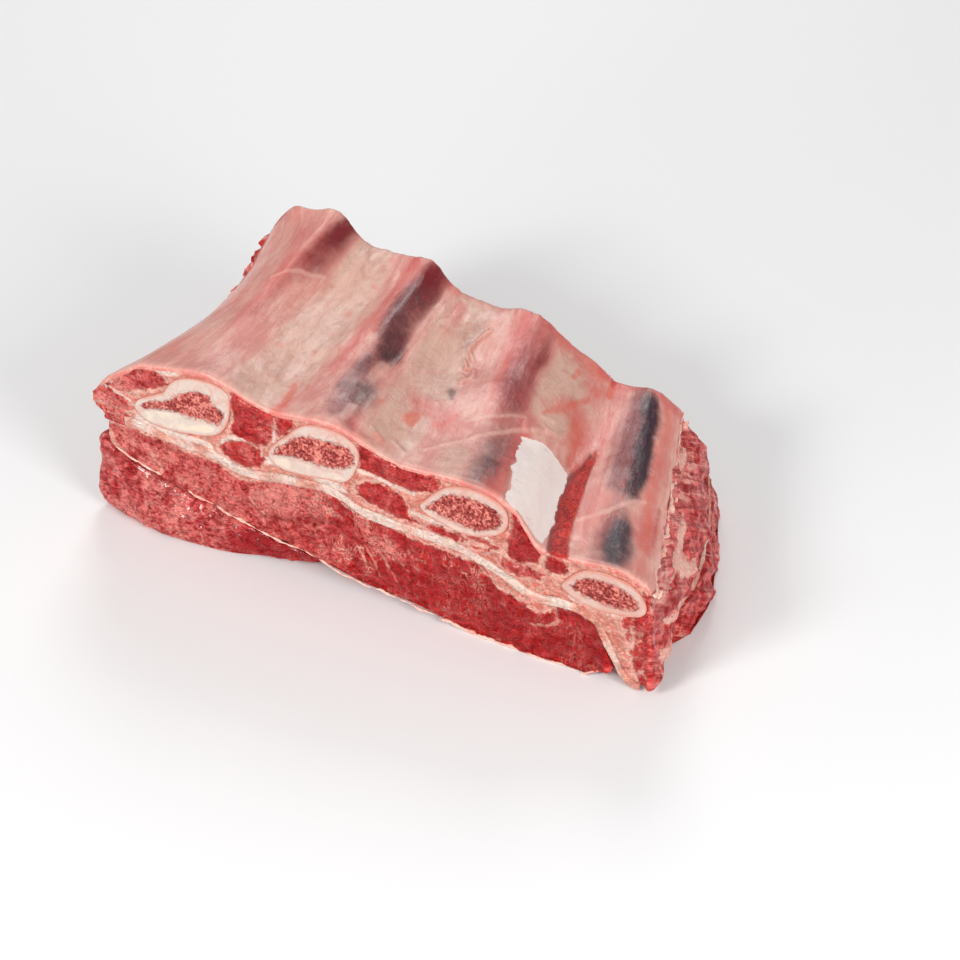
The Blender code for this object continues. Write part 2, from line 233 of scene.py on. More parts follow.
@dataclass(frozen=True)
class Slab:
    """The slab's own space and the heights of its layers, in metres."""

    depth: float = 0.105
    closing: float = 0.20
    lean: float = 0.013
    waist: float = 0.0085
    waist_from: float = -0.060
    waist_over: float = 0.030
    shift_x: float = -0.00124
    shift_y: float = 0.00313
    gap: float = 0.0006
    roof_front: Curve = (
        (-0.111, 0.0500), (-0.104, 0.0590), (-0.096, 0.0660), (-0.087, 0.0725), (-0.060, 0.0770),
        (-0.036, 0.0715), (-0.012, 0.0745), (0.017, 0.0660), (0.045, 0.0680), (0.059, 0.0640),
        (0.071, 0.0505), (0.096, 0.0520), (0.109, 0.0480), (0.114, 0.0440),
    )
    roof_back: Curve = (
        (-0.111, 0.0540), (-0.104, 0.0640), (-0.097, 0.0730), (-0.088, 0.0790), (-0.070, 0.0825),
        (-0.053, 0.0715), (-0.038, 0.0690), (-0.018, 0.0715), (-0.007, 0.0635), (0.015, 0.0612),
        (0.036, 0.0615), (0.056, 0.0530), (0.080, 0.0435), (0.096, 0.0455), (0.114, 0.0390),
    )
    roof_sag: float = 0.003
    roof_edge: float = 0.0016
    roof_past_end: float = 0.0004
    roof_roll: float = 0.98
    seam_line: Curve = (
        (-0.112, 0.0435), (-0.101, 0.0425), (-0.092, 0.0445), (-0.078, 0.0425), (-0.060, 0.0420),
        (-0.048, 0.0385), (-0.030, 0.0425), (-0.014, 0.0445), (0.005, 0.0385), (0.038, 0.0375),
        (0.056, 0.0325), (0.070, 0.0285), (0.080, 0.0300), (0.092, 0.0270), (0.135, 0.0190),
    )
    seam_thickness: float = 0.0030
    seam_lift: Curve = (
        (-0.110, 0.0080), (-0.073, 0.0090), (-0.021, 0.0008), (0.036, -0.0025), (0.095, -0.0065),
        (0.135, -0.0070),
    )
    flap_from: float = 0.089
    flap_to: float = 0.106
    flap_drop: float = 0.0225
    flap_length: float = 0.35
    flap_clearance: float = 0.0018
    fold_front: Curve = (
        (-0.108, 0.0340), (-0.100, 0.0290), (-0.080, 0.0230), (-0.060, 0.0180), (-0.040, 0.0135),
        (-0.020, 0.0100), (0.000, 0.0055), (0.025, 0.0035), (0.045, 0.0), (0.086, 0.0),
        (0.098, 0.0060),
    )
    fold_back: Curve = (
        (-0.108, 0.0340), (-0.100, 0.0300), (-0.080, 0.0250), (-0.060, 0.0200), (-0.040, 0.0150),
        (-0.025, 0.0105), (-0.013, 0.0040), (-0.004, 0.0), (0.086, 0.0), (0.098, 0.0),
    )
    front_lift: float = 0.14
    right_top: float = 0.112
    right_swell: Curve = (
        (0.0, 0.0010), (0.15, 0.0075), (0.30, 0.0130), (0.50, 0.0205), (0.75, 0.0225), (1.0, 0.0200),
    )
    right_power: float = 1.7
    groove: Points = (
        (0.0778, 0.060, 0.0008), (0.0768, 0.053, 0.0014), (0.0745, 0.044, 0.0018),
        (0.0742, 0.032, 0.0020), (0.0742, 0.020, 0.0020), (0.0744, 0.010, 0.0020), (0.0760, 0.0, 0.0020),
    )
    groove_depth: float = 0.0005
    groove_soft: float = 0.0012
    far_bump: float = 0.0009
    far_wander: float = 0.9
    near_wander: float = 0.25
    lump_height: float = 0.0005
    lump_waves: Points = ((61.0, 37.0, 0.4), (113.0, -71.0, 1.9), (-89.0, 127.0, 4.1))

    def lumps(self, u: Array, v: Array) -> Array:
        """Shallow waves that move neighbouring layers together: a sum of three sines."""
        waves = (np.sin(a * u + b * v * self.depth + c) for a, b, c in self.lump_waves)
        return self.lump_height * sum(waves)

    def sag(self, v: Array) -> Array:
        """How far the hollow of the rib cage dips between the cuts: half a sine."""
        return self.roof_sag * np.sin(np.pi * np.clip(v, 0, 1))

    def roof(self, u: Array, v: Array) -> Array:
        """Height of the bone side: the near curve mixed into the far one, less the sag."""
        flat = mix(through(self.roof_front, u), through(self.roof_back, u), v)
        return flat - self.sag(v) + self.lumps(u, v)

    def rounded_roof(self, u: Array, v: Array) -> Array:
        """The bone side with its torn groove and its bumps at the far cut.

        It rolls down a quarter circle to each cut and to the right end.

        Args:
            u: Places across the ribs.
            v: Places from the near cut, 0, to the far cut, 1.

        Returns:
            The heights.
        """
        to_cut = np.minimum(np.clip(v, 0, 1), 1 - np.clip(v, 0, 1)) * self.depth
        to_end = (self.right_top + self.roof_past_end - u) / 2.0
        drop = 0.0
        for distance in (to_cut, to_end):
            near = np.clip(1 - distance / self.roof_edge, 0.0, 1.0)
            drop = drop + self.roof_edge * (1 - np.sqrt(1 - near**2 * self.roof_roll))
        torn = line_distance(self.groove, u, np.clip(v, 0, 1) * self.depth) / self.groove_soft
        bumps = self.far_bump * Grain(93)(on_axis(u / MM, 0), 10.0, 3) * smooth_step((v - 0.90) / 0.10)
        return self.roof(u, v) - drop - self.groove_depth * (1 - smooth_step(torn)) + bumps

    def ragged(self, u: Array, v: Array) -> Array:
        """How far the cuts wander out or in: noise along u, at the near cut less than at the far.

        Args:
            u: Places across the ribs.
            v: Places from the near cut, 0, to the far cut, 1.

        Returns:
            Distances along y in metres.
        """
        line = on_axis(u / MM, 0)
        far = self.far_wander * Grain(91)(line, 16.0, 4) * smooth_step((v - 0.93) / 0.07)
        near = self.near_wander * Grain(92)(line, 9.0, 3) * smooth_step((0.05 - v) / 0.05)
        return (far + near) * MM

    def flap(self, u: Array, v: Array) -> Array:
        """How far the seam has turned down at the near right corner, from 0 to 1."""
        across = smooth_step((u - self.flap_from) / (self.flap_to - self.flap_from))
        return across * (1 - smooth_step(v / self.flap_length))

    def seam(self, u: Array, v: Array) -> Array:
        """Height of the middle of the fat seam: its line, lifted backwards, less sag and flap."""
        lifted = through(self.seam_line, u) + through(self.seam_lift, u) * v - self.sag(v)
        return lifted - self.flap_drop * self.flap(u, v) + self.lumps(u, v)

    def seam_side(self, u: Array, v: Array) -> Array:
        """Height from the middle of the seam to the meat on either side, more where it is steep."""
        steep = 4 * self.flap(u, v) * (1 - self.flap(u, v))
        return self.seam_thickness / 2 + self.gap / 2 + self.flap_clearance * steep

    def fold(self, u: Array, v: Array) -> Array:
        """Height of the plate muscle's underside, from the near curve to the far one."""
        lift = smooth_step(v / self.front_lift)
        return mix(through(self.fold_front, u), through(self.fold_back, u), lift)

    def right_wall(self, z: Array, v: Array) -> Array:
        """Where the right end is at a height: it swells out downwards by a power of the height."""
        share = np.clip(z / self.roof(self.right_top, v), 0.0, 1.0)
        return self.right_top + through(self.right_swell, v) * (1 - share**self.right_power)

    def placed(self, u: Array, v: Array, z: Array) -> Array:
        """Carries places in the slab into space: the ribs close up backwards, and the waist is drawn in.

        Args:
            u: Places across the ribs.
            v: Places from the near cut, 0, to the far cut, 1.
            z: Heights.

        Returns:
            Rows of x, y, z.
        """
        past = smooth_step((self.waist_from - u) / self.waist_over)
        waist = self.waist * np.sin(np.pi * np.clip(v, 0, 1)) * past
        x = u * (1 - self.closing * v) - self.lean * v + waist + self.shift_x
        y = self.depth * (v - 0.5) + self.shift_y
        return np.stack([x, y + 0 * x, z + 0 * x], axis=-1)


SLAB = Slab()


@dataclass(frozen=True)
class Stroke:
    """A brush stroke along a line of (across, along, half width, share of its strength), in mm.

    A point without the last number has the whole strength.
    """

    line: Points
    strength: float = 1.0
    soft: float = 0.6

    def on(self, across: Array, along: Array) -> Array:
        """How strongly the stroke covers each place, falling off eased about its half width.

        Args:
            across: Places across the sheet in millimetres.
            along: Places along the sheet in millimetres.

        Returns:
            Cover from 0 to the stroke's strength.
        """
        line = self.line if len(self.line) > 1 else (self.line[0], self.line[0])
        line = tuple((*point, 1.0)[:4] for point in line)
        cover = np.zeros(np.shape(across))
        for start, end in zip(line, line[1:]):
            share, distance = on_side(start, end, across, along)
            away = distance / mix(start[2], end[2], share)
            fall = 1 - smooth_step((away - 1 + self.soft) / (2 * self.soft))
            cover = np.maximum(cover, fall * mix(start[3], end[3], share))
        return cover * self.strength


def painted(strokes: tuple[Stroke, ...], across: Array, along: Array) -> Array:
    """The strongest cover of several strokes at each place."""
    return np.maximum.reduce([stroke.on(across, along) for stroke in strokes])


def inside(outline: Points, x: Array, y: Array) -> Array:
    """Distance into a closed outline, less than 0 outside it.

    The nearest point on each straight side gives the distance, and the number of sides that a
    ray to the right crosses gives the sign.

    Args:
        outline: Corners of the outline in millimetres.
        x: Places in millimetres.
        y: Places in millimetres.

    Returns:
        Signed distance in millimetres.
    """
    nearest = np.full(np.shape(x), FAR)
    within = np.zeros(np.shape(x), bool)
    for start, end in zip(outline, outline[1:] + outline[:1]):
        nearest = np.minimum(nearest, on_side(start, end, x, y)[1])
        crosses = (start[1] > y) != (end[1] > y)
        rise = end[1] - start[1]
        where = start[0] + (y - start[1]) * (end[0] - start[0]) / (rise if rise else TINY)
        within ^= crosses & (x < where)
    return np.where(within, nearest, -nearest)


def clefts(seed: int, place: Array, squash: tuple[float, float, float]) -> Array:
    """Fine clefts between bundles of meat, along the lines where noise passes through 0.

    Args:
        seed: Seed of the noise.
        place: Places in millimetres, as rows.
        squash: Factors that stretch the pattern along each axis.

    Returns:
        1 in a cleft, eased to 0 beside it.
    """
    return 1 - smooth_step(np.abs(Grain(seed)(place * np.array(squash), 5.0, 2)) / 0.12)


def vertex_normals(points: Array, faces: Array) -> Array:
    """Unit normals: each vertex sums the cross products of its faces' diagonals.

    Args:
        points: Rows of x, y, z.
        faces: Rows of four point numbers.

    Returns:
        A row for each point.
    """
    a, b, c, d = (points[faces[:, k]] for k in range(4))
    crossed = np.cross(c - a, d - b)
    corners = faces.ravel()
    sums = [np.bincount(corners, np.repeat(crossed[:, axis], 4), len(points)) for axis in range(3)]
    total = np.stack(sums, axis=1)
    return total / np.maximum(np.linalg.norm(total, axis=1, keepdims=True), 1e-12)


def facing_out(points: Array, faces: Array) -> Array:
    """The faces turned so that the closed surface's volume is positive.

    Args:
        points: Rows of x, y, z.
        faces: Rows of four point numbers.

    Returns:
        The faces, all as they were or all turned.
    """
    a, b, c, d = (points[faces[:, k]] for k in range(4))
    volume = np.sum((a + b + c + d) * np.cross(c - a, d - b))
    return faces if volume > 0 else faces[:, ::-1]


@dataclass
class Skin:
    """A closed surface of four-sided faces, with the slab place and attributes of each point."""

    points: Array
    faces: Array
    u: Array
    v: Array
    z: Array
    facing: Array
    w: Array | None = None
    attributes: dict[str, Array] = field(default_factory=dict)

    @property
    def place(self) -> Array:
        """Slab places in millimetres, as rows of u, distance from the near cut, and z."""
        return np.stack([self.u, self.v * SLAB.depth, self.z], axis=1) / MM

    @property
    def near_cut(self) -> Array:
        """1 at the near cut, where marks are drawn, and 0 from an eighth of the depth on."""
        return smooth_step((0.12 - self.v) / 0.1)

    def turned(self, axis: int, sign: int = 1) -> Array:
        """1 where the layer faces along an axis, or against it for sign -1, eased to 0 beside."""
        return smooth_step((sign * self.facing[:, axis] - 0.35) / 0.4)

    def give(self, **values: Array | float) -> None:
        """Gives every point these attributes, where a number is the same everywhere."""
        for key, value in values.items():
            self.attributes[key] = np.zeros(len(self.u)) + value

    def raise_by(self, relief: Array) -> None:
        """Moves each point out along its normal by the relief in millimetres."""
        normals = vertex_normals(self.points, self.faces)
        self.points = self.points + normals * (relief * MM)[:, None]

    def raise_on_table(self, relief: Array, covered: float) -> None:
        """Raises a muscle that stands on the table, whose underside goes only inwards and little.

        Args:
            relief: The relief in millimetres.
            covered: Share of the relief that is lost on top, where the next layer lies.
        """
        relief = np.where(self.facing[:, 2] < -0.5, np.minimum(relief, 0.0) * 0.2, relief)
        self.raise_by(relief * (1 - covered * smooth_step(self.facing[:, 2] * 2)))
        self.points[:, 2] = np.maximum(self.points[:, 2], 0.0)

    def object(self, name: str, material: bpy.types.Material, slot: str, *nodes: str) -> bpy.types.Object:
        """Makes the piece, with its attributes, and stands it in for its CAD nodes.

        Args:
            name: The piece's name.
            material: Its material.
            slot: A material slot's name; not used.
            nodes: CAD nodes that it replaces.

        Returns:
            The new object.
        """
        faces = facing_out(self.points, self.faces)
        mesh = bpy.data.meshes.new(name)
        mesh.vertices.add(len(self.points))
        mesh.vertices.foreach_set("co", self.points.astype(np.float32).ravel())
        mesh.loops.add(faces.size)
        mesh.loops.foreach_set("vertex_index", faces.astype(np.int32).ravel())
        mesh.polygons.add(len(faces))
        mesh.polygons.foreach_set("loop_start", np.arange(0, faces.size, 4, dtype=np.int32))
        mesh.update(calc_edges=True)
        for key, values in {"place": self.place, **self.attributes}.items():
            kind, value_name = ("FLOAT_VECTOR", "vector") if values.ndim == 2 else ("FLOAT", "value")
            layer = mesh.attributes.new(key, kind, "POINT")
            layer.data.foreach_set(value_name, values.astype(np.float32).ravel())
        mesh.validate()
        mesh.shade_smooth()
        mesh.materials.append(material)
        piece = bpy.data.objects.new(name, mesh)
        bpy.context.scene.collection.objects.link(piece)
        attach(piece, BODY)
        if nodes:
            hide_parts(*nodes)
        log.info("%s: %d faces", name, len(faces))
        return piece


def lines_between(size: float, radius: float, step: float) -> Array:
    """Lines across a box: closer ones that round each edge evenly, and even ones between.

    Args:
        size: The box's size that way, in metres.
        radius: Radius that rounds its edges.
        step: Distance between the even lines.

    Returns:
        The lines' distances from one side.
    """
    turns = np.radians(np.linspace(45.0, 0.0, max(3, int(radius / step) + 2)))
    near = radius * (1 - np.tan(turns))
    count = max(2, int(round((size - 2 * radius) / step)))
    even = np.linspace(radius, size - radius, count + 1)[1:-1]
    return np.concatenate([near, even, size - near[::-1]])


def box_surface(counts: tuple[int, int, int]) -> tuple[Array, Array]:
    """Lattice numbers of the points on a box's surface, and its four-sided faces.

    Args:
        counts: How many lines run across, along and up.

    Returns:
        Rows of (i, j, k), and rows of four point numbers.
    """
    last = tuple(count - 1 for count in counts)
    i, j, k = np.indices(counts)
    outside = (i == 0) | (i == last[0]) | (j == 0) | (j == last[1]) | (k == 0) | (k == last[2])
    number = -np.ones(counts, int)
    number[outside] = np.arange(outside.sum())
    faces = []
    for grid, flip in (
        (number[0], False), (number[-1], True), (number[:, 0], True),
        (number[:, -1], False), (number[:, :, 0], False), (number[:, :, -1], True),
    ):
        corners = [grid[:-1, :-1], grid[:-1, 1:], grid[1:, 1:], grid[1:, :-1]]
        quads = np.stack([corner.ravel() for corner in corners], axis=1)
        faces.append(quads[:, ::-1] if flip else quads)
    return np.stack([i[outside], j[outside], k[outside]], axis=1), np.concatenate(faces)


def on_disc(lattice: Array, counts: tuple[int, int, int]) -> tuple[Array, Array]:
    """Radius and angle of lattice points, whose square cross-section is pulled into a disc.

    A point (x, y) of the square goes to (x sqrt(1 - y y / 2), y sqrt(1 - x x / 2)).

    Args:
        lattice: Rows of (across, along, up) numbers.
        counts: How many lines run across, along and up.

    Returns:
        Radius from 0 to 1, and angle.
    """
    x = lattice[:, 0] / (counts[0] - 1) * 2 - 1
    y = lattice[:, 2] / (counts[2] - 1) * 2 - 1
    a, b = x * np.sqrt(1 - y * y / 2), y * np.sqrt(1 - x * x / 2)
    return np.hypot(a, b), np.arctan2(b, a)


def carried(path: Array, half: Array, axes: tuple[Points, Points]) -> Skin:
    """A closed strip: an oval profile carried along a path in the slab.

    Args:
        path: Rows of (u, v, z) in metres.
        half: The profile's half width at each row, in metres.
        axes: The two directions that the profile spreads in, as (x, y, z).

    Returns:
        The strip's skin.
    """
    counts = (5, len(path), 5)
    lattice, faces = box_surface(counts)
    radius, angle = on_disc(lattice, counts)
    at = lattice[:, 1]
    u, v, z = path[at].T
    spread = np.cos(angle)[:, None] * np.array(axes[0]) + np.sin(angle)[:, None] * np.array(axes[1])
    offset = (radius * half[at])[:, None] * spread
    points = SLAB.placed(u, v, z) + offset
    u, v, z = u + offset[:, 0], v + offset[:, 1] / SLAB.depth, z + offset[:, 2]
    return Skin(points, faces, u, v, z, offset)


def blobs(middles: Array, sizes: Array, cells: int, seed: int, rough: float) -> Skin:
    """Many small closed lumps: a cube's surface pulled onto a ball, stretched and roughened.

    Args:
        middles: Rows of (u, v, z) in metres.
        sizes: Half sizes along x, y and z of each lump, in metres.
        cells: Faces along each side of the cube.
        seed: Seed of the roughness.
        rough: Height of the roughness as a share of the size.

    Returns:
        One skin that holds every lump.
    """
    lattice, faces = box_surface((cells + 1,) * 3)
    ball = lattice / cells * 2 - 1
    ball = ball / np.linalg.norm(ball, axis=1, keepdims=True)
    centres = SLAB.placed(*middles.T)
    shift = (ball[None] * 1.7 + np.arange(len(middles))[:, None, None] * 9.1).reshape(-1, 3)
    swell = 1 + rough * Grain(seed)(shift, 1.0, 2).reshape(len(middles), -1, 1)
    points = (centres[:, None] + ball[None] * swell * sizes[:, None]).reshape(-1, 3)
    numbers = (faces[None] + (np.arange(len(middles)) * len(ball))[:, None, None]).reshape(-1, 4)
    u, v, z = (np.repeat(middles[:, axis], len(ball)) for axis in range(3))
    return Skin(points, numbers, u, v, z, points * 0)


@dataclass(frozen=True)
class Layer:
    """A layer of the slab as a rounded box, stretched between a floor, a top and its walls."""

    walls: Callable[[Array, Array], tuple[Array, Array]]
    floor: Place
    top: Place
    thick: float
    radii: tuple[float, float, float]
    steps: tuple[float, float, float]
    width: float = 0.222
    ends: tuple[Array | float, Array | float] = (0.0, 1.0)

    def skin(self) -> Skin:
        """The layer's closed surface.

        A point of the plain box is pulled to the nearest point of a smaller box, and put back out
        by the radii, which rounds every edge. Then it is carried into the slab: across from wall
        to wall, along from cut to cut, and up from the floor to the top.

        Returns:
            The skin, with the box's own outward direction at each point as its facing.
        """
        size = np.array([self.width, SLAB.depth, self.thick])
        lines = [lines_between(*numbers) for numbers in zip(size, self.radii, self.steps)]
        lattice, faces = box_surface(tuple(len(line) for line in lines))
        box = np.stack([line[lattice[:, axis]] for axis, line in enumerate(lines)], axis=1)
        radii = np.array(self.radii)
        inner = np.clip(box, radii, size - radii)
        facing = (box - inner) / radii
        facing /= np.maximum(np.linalg.norm(facing, axis=1, keepdims=True), 1e-9)
        s, v, w = ((inner + facing * radii) / size).T
        v = mix(self.ends[0], self.ends[1], v)
        left, right = self.walls(v, w)
        u = mix(left, right, s)
        z = mix(self.floor(u, v), self.top(u, v), w)
        return Skin(SLAB.placed(u, v, z), faces, u, v, z, facing, w)


def traced(outline: Points, angle: Array) -> tuple[Array, Array]:
    """Where rays from an outline's middle meet it, as the mean radius of five rays close by.

    Args:
        outline: Corners in millimetres.
        angle: Directions of the rays.

    Returns:
        The two coordinates in metres.
    """
    corners = np.array(outline) * MM
    middle = corners.mean(axis=0)
    across, up = (corners - middle).T
    turns, reach = np.arctan2(up, across), np.hypot(across, up)
    rays = [np.interp(angle + turn, turns, reach, period=2 * np.pi) for turn in RAY_TURNS]
    radius = np.mean(rays, axis=0)
    return middle[0] + radius * np.cos(angle), middle[1] + radius * np.sin(angle)


@dataclass(frozen=True)
class Rib:
    """The outlines of a rib bone, of its spongy core and of the smooth marrow below the core.

    On the near cut they are (u, z) corners in millimetres. At the far cut bone and core are
    ovals: middle u and z, half width, half height, turn in degrees, and how much higher each is
    towards its right.
    """

    number: int
    far_bone: tuple[float, ...]
    far_core: tuple[float, ...]
    sawn: Points
    sponge: Points
    marrow: Points

    def outline(self, core: bool, v: Array, angle: Array) -> tuple[Array, Array]:
        """Points of an outline that is mixed between the two cuts and dips with the ribs.

        Args:
            core: Whether the core's outline is wanted, not the bone's.
            v: How far back each point is.
            angle: Its angle round the outline.

        Returns:
            The u and z of each point.
        """
        along = np.clip(v, 0, 1)
        near, far = (self.sponge, self.far_core) if core else (self.sawn, self.far_bone)
        near_u, near_z = traced(near, angle)
        middle_u, middle_z, half_width, half_height, turn, egg = far
        across = half_width * np.cos(angle)
        up = half_height * np.sin(angle) * (1 + egg * np.cos(angle))
        turned = np.radians(turn)
        far_u = middle_u + across * np.cos(turned) - up * np.sin(turned)
        far_z = middle_z + across * np.sin(turned) + up * np.cos(turned)
        u = mix(near_u, far_u, along)
        z = mix(near_z, far_z, along) - SLAB.sag(along) + SLAB.lumps(u, along) - SLAB.lumps(u, 0.0)
        return u, z

    def edge(self, v: float) -> Points:
        """The bone's outline at one cut, as 60 corners.

        Args:
            v: 0 for the near cut and 1 for the far one.

        Returns:
            Corners in millimetres.
        """
        angles = np.linspace(0, 2 * np.pi, 60, endpoint=False)
        u, z = self.outline(False, v, angles)
        return tuple(zip((u / MM).tolist(), (z / MM).tolist()))

    def mark(self, skin: Skin, u: Array, z: Array) -> None:
        """Gives a piece of this rib its distances into the sponge, the marrow and the bone.

        Args:
            skin: The piece.
            u: Each point's place across the near cut, in metres.
            z: Its height there.
        """
        for key, outline in (("sponge", self.sponge), ("marrow", self.marrow), ("shell", self.sawn)):
            skin.attributes[key] = np.clip(inside(outline, u / MM, z / MM), -5.0, 5.0)
        skin.give(rosy=0.27 * (self.number - 1))


RIBS = (
    Rib(
        1,
        (-0.0755, 0.0690, 0.0180, 0.0100, -6.0, 0.10),
        (-0.0755, 0.0690, 0.0145, 0.0062, -6.0, 0.10),
        ((-91.8, 51.5), (-91.5, 54.2), (-88.5, 56.9), (-83.3, 59.8), (-78.3, 62.8), (-75.8, 67),
         (-72.5, 70.6), (-69, 72.6), (-64, 73.9), (-58, 74.3), (-52.8, 73.6), (-50.4, 71.5), (-50.5, 66),
         (-51.5, 60.5), (-53.5, 55.6), (-57, 51.6), (-61.7, 49.5), (-68.3, 48.2), (-76.7, 46.8),
         (-85, 46.9), (-89.5, 48.6)),
        ((-88.8, 53.6), (-87.6, 55.9), (-83.3, 57.9), (-78.3, 59.4), (-74.6, 62.1), (-72, 65),
         (-66.7, 67.8), (-62, 69), (-58.6, 69), (-57.6, 66), (-55.6, 64.4), (-53, 63.4),
         (-53, 60.6), (-54.6, 57.5), (-57, 56), (-61, 56.6), (-66.7, 55.8), (-73.3, 56), (-78.3, 55.2), (-83.3, 54), (-87, 52.4)),
        ((-89, 50.2), (-86.7, 51.9), (-81.7, 53.9), (-75, 55.2), (-66.7, 55), (-61.7, 55.4), (-57, 55.2),
         (-58.3, 52.4), (-62.5, 50.9), (-70, 49.3), (-76.7, 47.9), (-84.2, 48), (-88, 48.8)),
    ),
    Rib(
        2,
        (-0.0235, 0.0578, 0.0165, 0.0098, -5.0, 0.05),
        (-0.0235, 0.0578, 0.0132, 0.0060, -5.0, 0.05),
        ((-36, 51.7), (-33.8, 55.6), (-31, 58.8), (-27.5, 62.3), (-24.2, 66.3), (-20.8, 69.2),
         (-15.8, 70.9), (-9.2, 71.3), (-4.2, 70.5), (-0.6, 68.3), (1.3, 65), (0.6, 60), (-1, 55.6),
         (-2.6, 52.4), (-5, 49.8), (-12.5, 48.6), (-17.5, 47.5), (-24.2, 46.4), (-30, 46), (-35, 47.6)),
        ((-34.2, 52.1), (-31.7, 55.9), (-28.3, 59.3), (-24.2, 63), (-20, 65.1), (-15, 65.5), (-10.8, 66.4),
         (-6.7, 66.4), (-2.5, 65.9), (-0.8, 63.3), (-0.8, 60), (-3.3, 56.7), (-7.5, 55), (-12.5, 53.9),
         (-17.5, 53.8), (-24.2, 53.5), (-29.2, 52.8), (-32.5, 51.6)),
        ((-33.6, 50), (-29.2, 51.9), (-21.7, 52.7), (-15, 52.5), (-8, 52.9), (-4.5, 51.6), (-8, 49.9),
         (-13.3, 49.2), (-20, 47.9), (-26.7, 47.1), (-33, 47.6)),
    ),
    Rib(
        3,
        (0.0310, 0.0500, 0.0160, 0.0088, -5.0, 0.05),
        (0.0310, 0.0500, 0.0128, 0.0055, -5.0, 0.05),
        ((23.6, 50.4), (27.3, 55), (30.6, 59.2), (34.2, 62.6), (38.3, 64.7), (44.2, 65.6), (50.8, 65.1),
         (55.4, 63.4), (58, 60.4), (58.4, 56.7), (57.2, 52.5), (54.2, 49.5), (50, 47.2), (44.2, 45.4),
         (38.3, 45.3), (32.5, 46.6), (27.5, 48.1)),
        ((25.8, 50.8), (29, 54), (32.3, 58), (35.8, 60.9), (41.7, 61.9), (48.3, 61.8), (53.3, 60.9),
         (55.8, 58.8), (56.3, 55.8), (55, 52.9), (50.8, 50), (46.7, 48.1), (41.7, 47.9), (35.8, 49.1),
         (30.8, 49.9)),
        ((25, 49.6), (31, 49.2), (36, 48.4), (41, 47.2), (45, 47.4), (46, 46.2), (39, 45.9), (32, 47),
         (27, 48.4)),
    ),
    Rib(
        4,
        (0.0950, 0.0345, 0.0150, 0.0076, -2.0, 0.10),
        (0.0950, 0.0345, 0.0118, 0.0046, -2.0, 0.10),
        ((77.6, 36.8), (80.5, 40), (83.6, 44.3), (87.1, 47.2), (92.5, 48.5), (98.3, 48.3), (104.2, 47.1),
         (107.5, 44.7), (109.9, 40.8), (110.2, 37.5), (108.2, 34.8), (104.2, 33.3), (98.3, 32.2),
         (92.5, 31.5), (86.7, 32.2), (81.7, 34)),
        ((81.7, 38.4), (84.2, 42.1), (87.5, 44.3), (92.5, 45), (99.2, 44.9), (104.2, 43.4), (107.1, 40.9),
         (107.5, 37.9), (104.2, 36), (98.3, 34.8), (92.5, 34.9), (86.7, 35.6), (82.9, 36.9)),
        ((82, 35.8), (86.7, 34.9), (92.5, 34.2), (97, 34.2), (97, 33), (92, 32.6), (86.7, 33.2)),
    ),
)


class Wire:
    """A value output of a shader node, with arithmetic that adds Math nodes."""

    def __init__(self, nodes: "Nodes", socket: bpy.types.NodeSocket) -> None:
        """Wraps a socket of these nodes."""
        self.nodes = nodes
        self.socket = socket

    def _math(self, operation: str, first: "Wire | float", second: "Wire | float") -> "Wire":
        """Adds one Math node."""
        return self.nodes.add("ShaderNodeMath", {"operation": operation}, {0: first, 1: second})

    def __add__(self, other: "Wire | float") -> "Wire":
        """This value plus another."""
        return self._math("ADD", self, other)

    __radd__ = __add__

    def __sub__(self, other: "Wire | float") -> "Wire":
        """This value less another."""
        return self._math("SUBTRACT", self, other)

    def __rsub__(self, other: float) -> "Wire":
        """A number less this value."""
        return self._math("SUBTRACT", other, self)

    def __mul__(self, other: "Wire | float") -> "Wire":
        """This value times another."""
        return self._math("MULTIPLY", self, other)

    __rmul__ = __mul__

    def __abs__(self) -> "Wire":
        """This value without its sign."""
        return self._math("ABSOLUTE", self, 0.0)


Value = Wire | float


